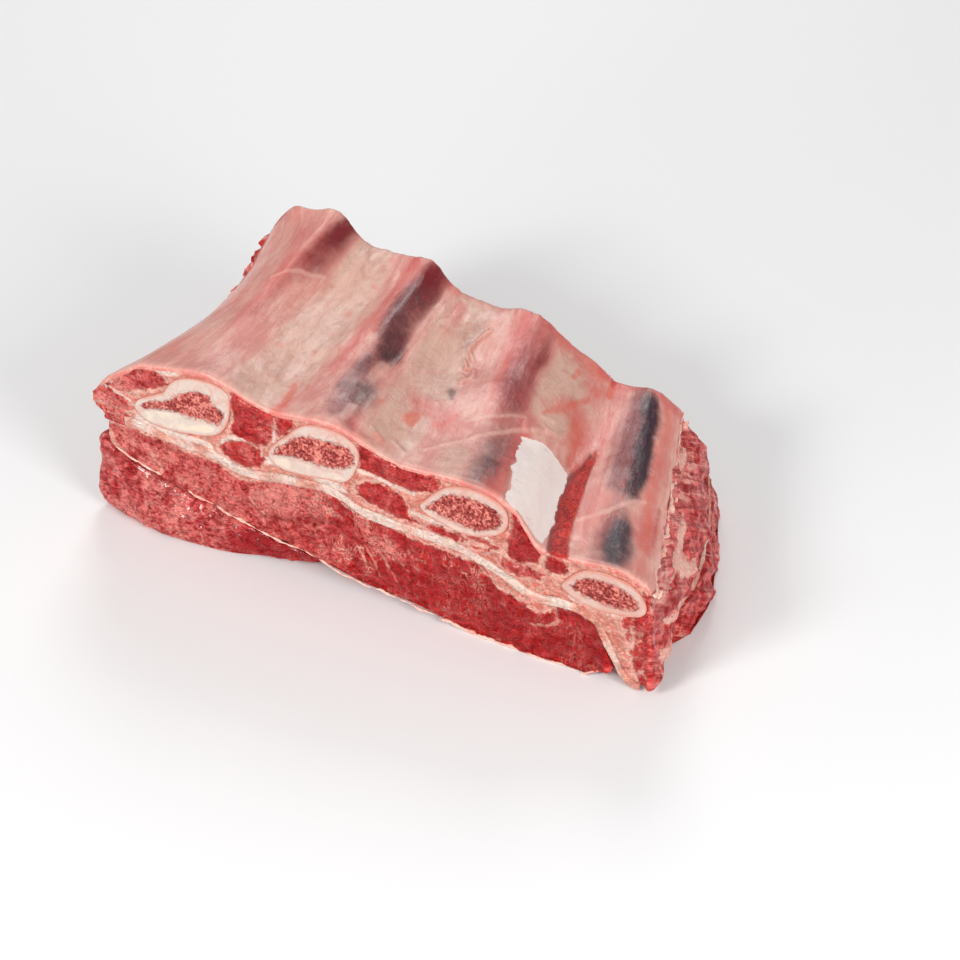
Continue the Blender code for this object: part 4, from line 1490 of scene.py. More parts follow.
    torn: tuple[Stroke, ...] = (
        Stroke(((79, 64, 1.0, 0.3), (77.8, 56, 2.2, 0.8), (75.8, 45, 3.0), (75.2, 32, 3.3), (75.2, 20, 3.4),
                (75.8, 10, 3.4), (77, 0, 3.4)), 1.0, 0.5),
        Stroke(((-105, 101, 3.0), (-106, 84, 2.6), (-106.5, 66, 1.6, 0.4)), 0.7, 0.9),
        Stroke(((-96, 104, 2.6), (-101, 103, 2.0)), 0.6, 0.9),
        Stroke(((77.5, 103, 1.6), (77, 97, 1.2, 0.3)), 0.6, 0.9),
        Stroke(((109.5, 46, 1.2), (109, 24, 1.2)), 0.45, 0.9),
    )
    fascia: tuple[Stroke, ...] = (
        Stroke(((-77, 62, 0.9), (-66, 68, 1.1), (-56, 76, 0.9)), 0.9),
        Stroke(((22, 13, 1.0), (50, 44, 1.2), (62, 55, 0.9)), 0.9),
        Stroke(((30, 36, 0.9), (50, 52, 1.0)), 0.8),
        Stroke(((80, 22, 1.0), (90, 31, 1.2), (104, 44, 0.9)), 0.9),
        Stroke(((-9.5, 44, 2.6), (-9.5, 34, 2.4)), 0.8, 0.6),
        Stroke(((-106, 1, 2.2), (0, 1, 2.2), (71, 1, 2.2)), 0.6, 0.9),
        Stroke(((78, 1, 2.2), (110, 1, 2.2)), 0.6, 0.9),
        Stroke(((-8, 14, 2.0), (-8, 6, 2.0)), 0.8),
        Stroke(((-47.5, 95, 2.4), (-47.5, 36, 2.6)), 0.7),
        Stroke(((-7, 100, 1.2), (-6, 60, 1.0)), 0.7),
        Stroke(((0, 8, 3.0), (16, 6, 2.6)), 0.5),
        Stroke(((30, 100, 1.4), (31, 40, 1.4)), 0.4),
        Stroke(((87, 100, 1.4), (86, 12, 1.6)), 0.5),
    )
    wisps: tuple[Stroke, ...] = (
        Stroke(((20, 90, 1.0), (17, 84, 0.9), (15, 76, 1.0), (19, 72, 0.9)), 1.0, 0.4),
        Stroke(((15, 70, 0.9), (18, 66, 1.0), (22, 66, 0.9), (23, 60, 0.9), (19, 57, 1.0)), 1.0, 0.4),
        Stroke(((17, 62, 0.8), (20, 60, 0.8)), 1.0, 0.4),
        Stroke(((54, 49, 1.0), (58, 54, 0.9), (64, 57, 0.9)), 1.0, 0.4),
        Stroke(((56, 58, 0.8), (62, 62, 0.8)), 0.8, 0.4), Stroke(((52, 46, 0.9), (51, 52, 0.8)), 0.9, 0.4),
        Stroke(((103, 78, 1.4),), 1.0, 0.4), Stroke(((105, 70, 1.2),), 1.0, 0.4),
        Stroke(((104, 61, 1.0), (103, 58, 1.0)), 1.0, 0.4),
        Stroke(((2, 9, 0.9), (7, 6, 0.9)), 0.7, 0.4), Stroke(((11, 10, 0.8), (15, 8, 0.8)), 0.7, 0.4),
    )
    bare: Points = (
        (52, 42), (56, 45), (60, 47), (66, 46), (71, 45), (71.5, 31), (71.6, 15), (70.5, 3),
        (56, 1), (56.5, 10), (54, 20), (52.5, 33),
    )
    crevice_shade: Points = (
        (77, 60, 0.4), (75.5, 52, 0.7), (72.2, 44, 0.9), (72.2, 30, 1.0), (72.2, 15, 1.0),
        (73.5, 0, 1.0),
    )
    lowest: float = -0.95

    def build(self) -> bpy.types.Object:
        """Builds the sheet: the roof with its lumps, wisps, torn groove and bare patch.

        Returns:
            The membrane object.
        """
        grain = Grain(5)

        def walls(v: Array, w: Array) -> tuple[Array, Array]:
            """Left and right edges, which wander a little along the rib."""
            line = on_axis(v * SLAB.depth / MM, 1)
            return self.left + grain(line, 9.0) * 0.0008, self.right + Grain(6)(line, 6.0) * 0.0007

        def floor(u: Array, v: Array) -> Array:
            """The sheet's hidden underside, inside the meat."""
            return SLAB.rounded_roof(u, v) - self.thickness

        def top(u: Array, v: Array) -> Array:
            """The sheet's face."""
            return SLAB.rounded_roof(u, v) + self.proud

        radii, ends = (0.0008, 0.0006, 0.0008), (0.0004, 0.9996)
        skin = Layer(walls, floor, top, self.thickness, radii, self.steps, ends=ends).skin()
        place = skin.place
        across, along, _ = place.T
        runs = place * np.array([1.0, 0.5, 1.0])
        drift_u, drift_v = Grain(201)(runs, 9.0, 4), Grain(202)(runs, 9.0, 4)
        for key in ("plum", "slate", "rose", "cream", "ember", "torn", "fascia"):
            far = 0.5 if key in ("torn", "fascia") else 1.5
            moved = across + far * drift_u, along + 2 * far * drift_v
            skin.attributes[key] = painted(getattr(self, key), *moved)
        bare = smooth_step(0.5 + (inside(self.bare, across, along) + grain(place, 3.0) * 0.9) / 1.6)
        skin.give(bare=bare, sliced=skin.turned(1, -1))
        wisps = painted(self.wisps, across + grain(place, 4.0), along + Grain(8)(place, 4.0))
        skin.attributes["fascia"] = np.maximum(skin.attributes["fascia"], wisps * 0.5)
        # Painted shade: the crevice along the torn groove's left edge is sunk and darkened with the plum
        # tint.
        crevice_shade = 1 - smooth_step(line_distance(self.crevice_shade, across, along) / 1.6 + 0.3)
        groove = self.torn[0].on(across, along)
        skin.attributes["plum"] = np.maximum(skin.attributes["plum"], crevice_shade * 0.8)
        stretched = place * np.array([1.0, 0.3, 1.0])
        relief = 0.35 * grain(place, 14.0, 2) + 0.16 * Grain(3)(stretched, 3.0, 3) + 0.55 * wisps
        relief += 0.18 * skin.attributes["fascia"] - 0.25 * bare - 0.7 * crevice_shade
        relief += 0.45 * groove * Grain(9)(place, 2.4, 3)
        skin.raise_by(np.maximum(relief, self.lowest) * smooth_step(skin.facing[:, 2] * 2 - 0.2))
        skin.points[:, 1] += SLAB.ragged(skin.u, skin.v)
        return skin.object("rib_membrane", MembraneFinish().material(), "rib_meat", "rib_meat")


@dataclass(frozen=True)
class RibMeat:
    """The meat round the bones. Muscle outlines are (u, z) on the near cut, in millimetres."""

    left: float = -0.1095
    steps: tuple[float, float, float] = (0.0008, 0.0015, 0.00065)
    muscles: tuple[Points, ...] = (
        ((-103, 58), (-98, 62), (-90, 70.5), (-83, 71.5), (-77, 70), (-76, 67), (-80, 64.5), (-87, 61),
         (-96, 57.5)),
        ((-109, 56.5), (-103, 57), (-96, 54.5), (-93, 53), (-92.5, 50), (-96, 48.5), (-104, 48),
         (-109, 50)),
        ((-109, 47), (-103, 48.7), (-97, 48), (-93.5, 46), (-96, 42.5), (-103, 41.5), (-109, 43)),
        ((-50, 76), (-42, 74), (-33, 69.5), (-33.5, 60), (-36, 55), (-40, 52.5), (-51, 54.5), (-49.5, 62)),
        ((-32.4, 69), (-27, 70.5), (-24.5, 67.5), (-28, 62), (-31.6, 60)),
        ((-56.5, 47), (-52, 51), (-46, 52.3), (-40, 51.3), (-37.5, 48), (-40, 43.5), (-46, 41), (-52, 42)),
        ((0, 74), (6, 71.5), (13, 68), (24, 66), (31.7, 66.5), (31.7, 60), (22, 56), (9, 56.5), (1, 58.5)),
        ((-1, 49), (3, 53), (9, 55), (16, 53), (20, 49), (20, 45.5), (24.5, 42.5), (16, 42), (8, 43.5),
         (1, 45.5)),
        ((59, 62), (64, 60.5), (68, 55.5), (71, 48.5), (69, 42), (62, 40.2), (57.5, 41.5), (57.5, 48),
         (59.5, 54)),
        ((72, 47), (76, 48.5), (80.5, 47), (81, 43), (77, 40.5), (72, 41.5)),
        ((56, 40), (64, 39.5), (72, 38), (70, 35), (62, 34), (55, 36)),
        ((108.5, 46), (113, 44), (113, 10), (110.6, 8), (109.2, 22), (108.8, 34)),
    )
    streaky: Points = ((27, 44), (36, 45), (50, 45.5), (54, 43), (50, 40.2), (38, 39.8), (27, 41))
    dark: tuple[int, ...] = (8, 9, 10)
    flap: Points = ((101, 32), (112, 38), (113, 4), (110, 2), (107.5, 7), (104.5, 20))
    white: tuple[Stroke, ...] = (
        Stroke(((-90, 47, 1.8), (-75, 45.5, 1.8), (-60, 45.5, 1.5)), 1.0, 0.4),
        Stroke(((-55, 49.5, 0.9), (-51, 53, 0.9), (-43, 53.4, 0.8)), 1.0, 0.4),
        Stroke(((-36, 48, 2.0), (-20, 49, 2.4), (-6, 46.5, 2.0)), 0.8),
        Stroke(((-80, 72, 1.6), (-72, 73.5, 1.4)), 0.7),
        Stroke(((-105, 57.3, 0.8), (-93, 54.4, 0.8)), 1.0, 0.4),
        Stroke(((22, 47, 1.4), (32, 45.5, 1.2), (50, 46.2, 1.2)), 0.7),
        Stroke(((-34, 64, 0.7), (-33.2, 57, 0.8)), 1.0, 0.4),
        Stroke(((0, 57.5, 0.9), (10, 56, 0.9), (22, 55.5, 1.2)), 0.7),
        Stroke(((80, 50, 1.2), (88, 50.5, 1.0)), 0.6),
        Stroke(((82, 33, 1.4), (98, 31.5, 1.4), (106, 33, 1.2)), 0.6),
    )

    def floor(self, u: Array, v: Array) -> Array:
        """Height of the meat's underside, on the seam."""
        return SLAB.seam(u, v) + SLAB.seam_side(u, v)

    def top(self, u: Array, v: Array) -> Array:
        """Height of the meat under the membrane."""
        inward = np.minimum(np.clip(v, 0, 1), 1 - np.clip(v, 0, 1)) * SLAB.depth / 0.004
        return SLAB.rounded_roof(u, v) - mix(0.0003, 0.0011, smooth_step(inward))

    def walls(self, v: Array, w: Array) -> tuple[Array, Array]:
        """The left and right ends at each height share."""
        z = mix(self.floor(SLAB.right_top, v), SLAB.roof(SLAB.right_top, v), w)
        return self.left + 0 * v, SLAB.right_wall(z, v)

    def section(self, skin: Skin) -> tuple[Array, Array]:
        """Each point's place on the near cut, carried there along the ribs.

        The bones' middles at the far cut are laid onto those at the near cut, and a height
        keeps its share between the floor and the roof.

        Args:
            skin: The meat's skin.

        Returns:
            u and z on the near cut in millimetres.
        """
        far = [rib.far_bone[0] for rib in RIBS]
        near = [np.mean(rib.sawn, axis=0)[0] * MM for rib in RIBS]
        moved = skin.u + np.interp(skin.u, far, np.array(near) - np.array(far)) * np.clip(skin.v, 0, 1)
        low, high = self.floor(skin.u, 0.0), self.top(skin.u, 0.3)
        floor = self.floor(skin.u, skin.v)
        share = (skin.z - floor) / (self.top(skin.u, skin.v) - floor)
        z = mix(skin.z, mix(low, high, share), smooth_step(skin.v * 4))
        return moved / MM, z / MM

    def build(self) -> bpy.types.Object:
        """Builds the meat, with a low groove round each bone end and muscles that stand out.

        Returns:
            The meat object.
        """
        radii = (0.0030, 0.0006, 0.0006)
        skin = Layer(self.walls, self.floor, self.top, 0.028, radii, self.steps).skin()
        place = skin.place
        u, z = self.section(skin)
        depths = [inside(outline, u, z) for outline in self.muscles]
        lean = np.maximum.reduce(depths)
        dark = np.maximum.reduce([depths[index] for index in self.dark])
        end, left_end = skin.turned(0), skin.turned(0, -1)
        streaky = np.minimum(inside(self.streaky, u, z), 0.2 + 1.2 * Grain(22)(place * [0.3, 1, 1], 2.0))
        lean = np.maximum(lean, streaky)
        flap = np.minimum(inside(self.flap, u, z), 0.8 + 1.6 * Grain(24)(place * [1, 1, 0.6], 3.0, 3))
        lean = np.maximum(lean, flap)
        lean = lean + left_end * Grain(23)(place * [1.0, 0.25, 1.0], 4.0) * 2.0
        skin.give(
            lean=np.clip(lean, -DEEP_MM, DEEP_MM),
            tone=smooth_step(dark / 2.0) * 0.3,
            vein=FAR_MM,
            end=end,
            rosy=0.6 * (1 - smooth_step((u + 100) / 30)) + 0.35 - 0.3 * (flap > 0),
            white=painted(self.white, u, z) * (flap < 0),
        )
        bundles = RightEnd().dress(skin, end)
        at_cut = smooth_step((np.abs(skin.facing[:, 1]) - 0.5) / 0.3)
        bones = np.full(len(u), -FAR_MM)
        for rib in RIBS:
            for cut in (0.0, 1.0):
                reach = inside(rib.edge(cut), skin.u / MM, skin.z / MM)
                bones = np.where(np.abs(skin.v - cut) < 0.1, np.maximum(bones, reach), bones)
        swell = smooth_step(skin.attributes["lean"] / 2.5)
        relief = 0.45 * swell + 0.35 * Grain(11)(place, 7.0, 2) + 0.25 * Grain(12)(place, 2.0, 3)
        relief -= 0.4 * np.exp(-((skin.attributes["lean"] / 0.5) ** 2)) * (1 - end)
        relief = relief * (0.35 + 0.65 * (1 - smooth_step((bones + 2.5) / 2.0)))
        relief -= at_cut * (0.12 * np.exp(-((bones + 0.2) ** 2) / 0.4) + 1.2 * smooth_step(bones / 0.6))
        relief += left_end * 0.9 * Grain(13)(place * [1, 0.5, 1.2], 6.0, 3)
        relief += end * (0.9 * bundles + 0.8 * Grain(44)(place, 12.0, 2))
        keep = 1 - 0.9 * smooth_step(skin.facing[:, 2] * 2)
        skin.raise_by(relief * keep * (skin.facing[:, 2] > -0.9))
        skin.points[:, 1] += SLAB.ragged(skin.u, skin.v)
        finish = MeatFinish("rib_meat_cut")
        return skin.object("rib_meat_flesh", finish.material(), "rib_meat", "rib_meat")


@dataclass(frozen=True)
class FatSeam:
    """The sheet of fat between the ribs and the plate muscle, red at its left end."""

    left: float = -0.1055
    right_front: float = 0.1088
    tuck: float = 0.001
    overlap: float = 0.0002
    steps: tuple[float, float, float] = (0.0009, 0.0018, 0.0005)

    def build(self) -> bpy.types.Object:
        """Builds the sheet between its floor and top, with creases at its edges.

        Returns:
            The seam object.
        """

        def floor(u: Array, v: Array) -> Array:
            """Height of the seam's underside, a little inside the muscle."""
            return SLAB.seam(u, v) - SLAB.seam_side(u, v) - self.overlap

        def top(u: Array, v: Array) -> Array:
            """Height of the seam's upper side, a little inside the meat."""
            return SLAB.seam(u, v) + SLAB.seam_side(u, v) + self.overlap

        def walls(v: Array, w: Array) -> tuple[Array, Array]:
            """The left end, and a right end that is short where the flap turns down."""
            end = SLAB.right_wall(SLAB.seam(SLAB.right_top, v), v) - self.tuck
            return self.left + 0 * w, mix(self.right_front, end, smooth_step(v / SLAB.flap_length))

        skin = Layer(walls, floor, top, 0.0032, (0.0010, 0.0006, 0.0008), self.steps).skin()
        place = skin.place
        edge = smooth_step((np.abs(skin.facing[:, :2]).max(axis=1) - 0.4) / 0.4)
        relief = 0.4 * Grain(31)(place * [0.4, 1, 1], 4.0, 3)
        relief += 0.3 * Grain(32)(place * [0.3, 1, 2], 1.6, 2)
        skin.raise_by((relief + 0.3) * edge)
        u = place[:, 0]
        white = 0.75 - 0.7 * smooth_step((u - 76) / 12) + 0.5 * Grain(33)(place, 9.0, 2)
        white += 0.25 * smooth_step((u - 92) / 5) - 0.6 * smooth_step((-90 - u) / 4)
        lean = np.clip(1.5 - np.abs(u + 101) * 0.25, -3, 1) - 1.2 * (u > -96)
        skin.give(end=0.0, tone=0.0, lean=lean, white=white, rosy=0.5, vein=FAR_MM)
        finish = MeatFinish("seam_fat", fat=linear(244, 180, 158), fat_pink=linear(232, 136, 116))
        return skin.object("fat_seam_sheet", finish.material(), "fat_seam", "fat_seam")


@dataclass(frozen=True)
class PlateMuscle:
    """The thick muscle under the seam, with veins of fat drawn on its near cut."""

    left: float = -0.1045
    right_front: float = 0.0970
    steps: tuple[float, float, float] = (0.0008, 0.0013, 0.00065)
    veins: tuple[Points, ...] = (
        ((67, 14, 0.3), (70, 15, 0.35), (73, 15.5, 0.3), (76, 18, 0.4), (78, 20, 0.2)),
        ((73, 37, 0.4), (75, 30, 0.3), (76.5, 24, 0.35), (77, 19, 0.3)),
        ((-1, 24, -0.3), (2, 18, 0.15), (3, 12, -0.2)),
        ((1, 26, -0.3), (6, 18, 0.2), (8, 11, -0.2)),
        ((4, 27, -0.3), (10, 20, 0.25), (15, 12, -0.1)),
        ((8, 28, -0.3), (15, 23, 0.1), (20, 17, -0.3)),
        ((-86, 33, 0.2), (-83, 29, 0.5), (-82, 25, 0.4)),
        ((-45, 28, 0.2), (-42, 24, 0.35), (-38, 21, 0.2)),
        ((-17, 40, 0.5), (-16.5, 37, 0.3)),
        ((88, 33, 0.8), (93, 28, 1.0), (97, 20, 0.8)),
        ((45, 35, 0.3), (49, 31, 0.4), (52, 29, 0.3)),
        ((-104, 37, 1.0), (-102, 31, 1.1), (-98, 28, 0.6)),
    )
    # Painted shade along creases of the near cut and under the seam, and a wide darker patch low on its
    # right part.
    shadows: tuple[Stroke, ...] = (
        Stroke(((-40, 21, 1.2), (-28, 24, 1.6), (-15, 28, 1.4)), 0.7),
        Stroke(((-17, 39, 0.8), (-15, 30, 1.0)), 0.5),
        Stroke(((82, 27, 1.2), (90, 22, 1.4)), 0.7),
        Stroke(((-95, 40, 1.0), (-75, 37, 0.9)), 0.4),
        Stroke(((26, 14, 6, 0.6), (38, 20, 7, 0.7), (52, 15, 9), (66, 8, 6, 0.5), (80, 8, 6, 0.6),
                (90, 16, 8)), 0.6, 0.9),
        Stroke(((50, 34, 1.0), (53, 30, 1.2)), 0.8),
        Stroke(((95, 12, 3.0), (97, 6, 3.0)), 0.8),
    )
    bleeding: tuple[Stroke, ...] = (
        Stroke(((24, 0, 4), (38, 0, 6)), 0.5, 0.9),
        Stroke(((54, 0, 3), (62, 0, 6), (70, 0, 5)), 0.9, 0.8),
        Stroke(((-55, 0, 3), (-47, 0, 4)), 0.35, 0.9),
    )
    marbled: tuple[Stroke, ...] = (
        Stroke(((-12, 20, 5, 0.6), (2, 18, 8), (16, 18, 8)), 1.0, 0.8),
        Stroke(((-20, 36, 4), (12, 31, 5, 0.6)), 0.7, 0.9),
        Stroke(((40, 30, 5), (48, 22, 5, 0.5)), 0.8, 0.9),
    )
    pale: tuple[Stroke, ...] = (
        Stroke(((-40, 34, 5, 0.6), (-28, 33, 6), (-20, 34, 5)), 0.9, 0.9),
        Stroke(((4, 30, 5), (14, 26, 6)), 0.7, 0.9),
        Stroke(((45, 30, 5), (50, 24, 5)), 0.4, 0.9),
        Stroke(((-95, 36, 5), (-85, 33, 6)), 0.4, 0.9),
    )

    def top(self, u: Array, v: Array) -> Array:
        """Height of the muscle's upper side, under the seam."""
        return SLAB.seam(u, v) - SLAB.seam_side(u, v)

    def walls(self, v: Array, w: Array) -> tuple[Array, Array]:
        """The muscle's ends, of which the right one is tucked in behind the flap.

        Args:
            v: Places from the near cut, 0, to the far cut, 1.
            w: Shares of the height from floor to top.

        Returns:
            The left and the right end's u.
        """
        z = mix(SLAB.fold(SLAB.right_top, v), self.top(SLAB.right_top, v), w)
        end = SLAB.right_wall(z, v)
        return self.left + 0 * v, mix(self.right_front, end, smooth_step(v / SLAB.flap_length))

    def build(self) -> bpy.types.Object:
        """Builds the muscle with a rough cut and bundled fibres down its right end.

        Returns:
            The muscle object.
        """
        radii = (0.0035, 0.0008, 0.0007)
        skin = Layer(self.walls, SLAB.fold, self.top, 0.022, radii, self.steps).skin()
        place = skin.place
        u, _, z = place.T
        end, near = skin.turned(0), skin.near_cut
        veins = np.minimum.reduce([line_distance(line, u, z) for line in self.veins])
        below = (self.top(skin.u, skin.v) - skin.z) / MM
        bleed = below - 0.3 - 1.2 * Grain(46)(place * [0.6, 1, 1], 8.0, 3)
        bleed = bleed - 5.0 * painted(self.bleeding, u, u * 0)
        rosy = 0.95 * (1 - smooth_step((u + 40) / 70)) - 0.05
        skin.give(
            vein=np.clip(mix(FAR_MM, veins, near), -3, FAR_MM),
            tone=painted(self.shadows, u, z) * near * (1 - end),
            lean=np.clip(bleed, -DEEP_MM, DEEP_MM),
            end=end,
            rosy=rosy + painted(self.pale, u, z) * near,
            white=painted(self.marbled, u, z) * near,
        )
        bundles = RightEnd().dress(skin, end)
        relief = 0.7 * Grain(41)(place, 10.0, 2) + 0.35 * Grain(42)(place, 2.2, 3)
        relief -= 0.5 * clefts(47, place, (0.7, 1, 1.2)) * near
        relief += end * (1.1 * bundles + 0.8 * Grain(44)(place, 11.0, 2))
        relief += 0.3 * near * smooth_step(skin.z / 0.006) * Grain(45)(place, 4.0, 2)
        relief -= 0.3 * skin.attributes["tone"] * near
        skin.raise_on_table(relief, 0.9)
        finish = MeatFinish("plate_muscle_cut", lean_bright=linear(196, 32, 32), speck_amount=0.5)
        return skin.object("plate_muscle_flesh", finish.material(), "plate_muscle", "plate_muscle")


@dataclass(frozen=True)
class UnderMuscle:
    """The coarse muscle at the lower left, which bellies out in front of the near cut."""

    left: float = -0.1115
    right_front: float = -0.0165
    right_back: float = -0.0200
    width: float = 0.094
    thinnest: float = 0.0015
    belly_length: float = 0.16
    floor_front: Curve = (
        (-0.120, 0.0), (-0.052, 0.0), (-0.040, 0.0015), (-0.028, 0.0040), (-0.016, 0.0075),
    )
    belly_out: Curve = (
        (-0.1115, 0.0010), (-0.098, 0.0045), (-0.084, 0.0064), (-0.074, 0.0066), (-0.058, 0.0050),
        (-0.042, 0.0015), (-0.030, 0.0),
    )
    steps: tuple[float, float, float] = (0.0008, 0.0013, 0.0007)
    shadows: tuple[Stroke, ...] = (
        Stroke(((-52, 6, 5, 0.5), (-40, 8, 6), (-22, 10, 5)), 1.0, 0.8),
        Stroke(((-105, 27, 1.2), (-85, 23, 1.2), (-60, 18, 1.0), (-40, 13, 1.0)), 0.8),
    )

    def floor(self, u: Array, v: Array) -> Array:
        """Height of its underside, which lifts off the table at its near right."""
        return through(self.floor_front, u) * (1 - smooth_step(v / SLAB.front_lift))

    def top(self, u: Array, v: Array) -> Array:
        """Height of its upper side, under the plate muscle."""
        return np.maximum(SLAB.fold(u, v), self.floor(u, v) + self.thinnest) - SLAB.gap

    def walls(self, v: Array, w: Array) -> tuple[Array, Array]:
        """Its left and right ends."""
        return self.left + 0 * v, mix(self.right_front, self.right_back, smooth_step(v / SLAB.front_lift))

    def build(self) -> bpy.types.Object:
        """Builds the muscle, then moves its front forward by the belly, which fades upwards.

        Returns:
            The muscle object.
        """
        radii = (0.0040, 0.0030, 0.0040)
        skin = Layer(self.walls, self.floor, self.top, 0.022, radii, self.steps, self.width).skin()
        out = through(self.belly_out, skin.u) * (1 - skin.w**2)
        skin.points[:, 1] -= out * (1 - smooth_step(skin.v / self.belly_length))
        place = skin.place
        u, _, z = place.T
        rosy = 0.75 - 0.75 * smooth_step((u + 60) / 20)
        # Painted shade along the crease under the plate muscle, and low at the right where the muscle lifts
        # off the table.
        tone = painted(self.shadows, u, z) * skin.near_cut
        skin.give(end=0.0, white=0.0, rosy=rosy, vein=FAR_MM, lean=DEEP_MM, tone=tone)
        relief = 1.1 * Grain(51)(place, 11.0, 2) + 0.45 * Grain(52)(place, 2.6, 3)
        relief -= 0.5 * clefts(53, place, (0.6, 1, 1.2))
        skin.raise_on_table(relief, 0.95)
        finish = MeatFinish(
            "under_muscle_cut",
            lean_dark=linear(150, 16, 22),
            lean_bright=linear(204, 44, 46),
            lean_pink=linear(230, 120, 114),
            speck_amount=0.45,
            net_amount=0.2,
            grain=(0.8, 1.0, 1.2),
            coarse=1.15,
        )
        return skin.object("under_muscle_flesh", finish.material(), "under_muscle", "under_muscle")


@dataclass(frozen=True)
class RibBone:
    """A sawn rib: a ring of hard bone round a spongy core, standing a little out of the cut."""

    rib: Rib
    proud: float = 0.0003
    sides: int = 180
    rings: int = 14
    core_lines: tuple[int, int, int] = (80, 6, 34)
    pit_depth: float = 0.0004

    def stations(self, inner: bool) -> tuple[Array, Array, Array]:
        """The path of the profile: how far back, how far out, and how proud each station is.

        Args:
            inner: Whether the profile comes back inside, as the bone's does round its core.

        Returns:
            v, the share from the middle or core to the outside, and the distance along the rib.
        """
        face = np.linspace(0, 1, self.rings)
        rounding = np.sqrt(np.clip(1 - ((face - 0.9) / 0.1).clip(0, 1) ** 2, 0, 1))
        back = np.linspace(0.02, 0.98, 7)
        v = np.concatenate([0 * face, back, 0 * face + 1])
        share = np.concatenate([face, 0 * back + 1, face[::-1]])
        out = np.concatenate([-rounding, 0 * back, rounding[::-1]]) * self.proud
        if inner:
            v = np.concatenate([v, back[::-1]])
            share = np.concatenate([share, 0 * back])
            out = np.concatenate([out, 0 * back])
        return v, share, out

    def build_bone(self, finish: bpy.types.Material) -> bpy.types.Object:
        """Builds the ring: outlines between core and bone, carried round a closed profile.

        Args:
            finish: Its material.

        Returns:
            The bone object.
        """
        v, share, out = self.stations(inner=True)
        angles = np.linspace(0, 2 * np.pi, self.sides, endpoint=False)
        v, angle = np.meshgrid(v, angles, indexing="ij")
        share, out = (np.repeat(values[:, None], self.sides, axis=1) for values in (share, out))

        def at(back: Array) -> tuple[Array, Array]:
            """The u and z of every point as if it were this far back."""
            core, bone = self.rib.outline(True, back, angle), self.rib.outline(False, back, angle)
            return mix(core[0], bone[0], share).ravel(), mix(core[1], bone[1], share).ravel()

        u, z = at(v)
        points = SLAB.placed(u, v.ravel(), z)
        points[:, 1] += out.ravel()
        number = np.arange(v.size).reshape(v.shape)
        turns = ((0, 0), (-1, 0), (-1, -1), (0, -1))
        corner = [np.roll(number, turn, (0, 1)).ravel() for turn in turns]
        skin = Skin(points, np.stack(corner, axis=1), u, v.ravel(), z, points * 0)
        self.rib.mark(skin, *at(v * 0))
        skin.raise_by(0.08 * Grain(61 + self.rib.number)(skin.place, 2.5, 3))
        node = f"rib_bone_{self.rib.number}"
        return skin.object(f"{node}_sawn", finish, "rib_bone", node)

    def build_core(self, finish: bpy.types.Material) -> bpy.types.Object:
        """Builds the core: a bar on a lattice whose end faces have pits.

        Args:
            finish: Its material.

        Returns:
            The core object.
        """
        counts = self.core_lines
        lattice, faces = box_surface(counts)
        radius, angle = on_disc(lattice, counts)
        v = lattice[:, 1] / (counts[1] - 1)

        def at(back: Array) -> tuple[Array, Array]:
            """The places of all points, spread from the core's middle to its outline.

            Args:
                back: How far back each point is taken to be.

            Returns:
                The u and z of each point.
            """
            edge = self.rib.outline(True, back, angle)
            turns = np.linspace(0, 2 * np.pi, 24, endpoint=False)[:, None]
            middle = [values.mean(axis=0) for values in self.rib.outline(True, back[None], turns)]
            return mix(middle[0], edge[0], radius), mix(middle[1], edge[1], radius)

        u, z = at(v)
        side = (lattice[:, 1] == counts[1] - 1).astype(float) - (lattice[:, 1] == 0)
        points = SLAB.placed(u, v, z)
        skin = Skin(points, faces, u, v, z, points * 0)
        self.rib.mark(skin, *at(v * 0))
        pits = smooth_step(0.5 + Grain(71 + self.rib.number)(skin.place, 1.2, 2) * 1.4)
        skin.points[:, 1] += side * (self.proud - self.pit_depth * pits * smooth_step((1 - radius) * 12))
        node = f"bone_core_{self.rib.number}"
        return skin.object(f"{node}_sponge", finish, "bone_core", node)


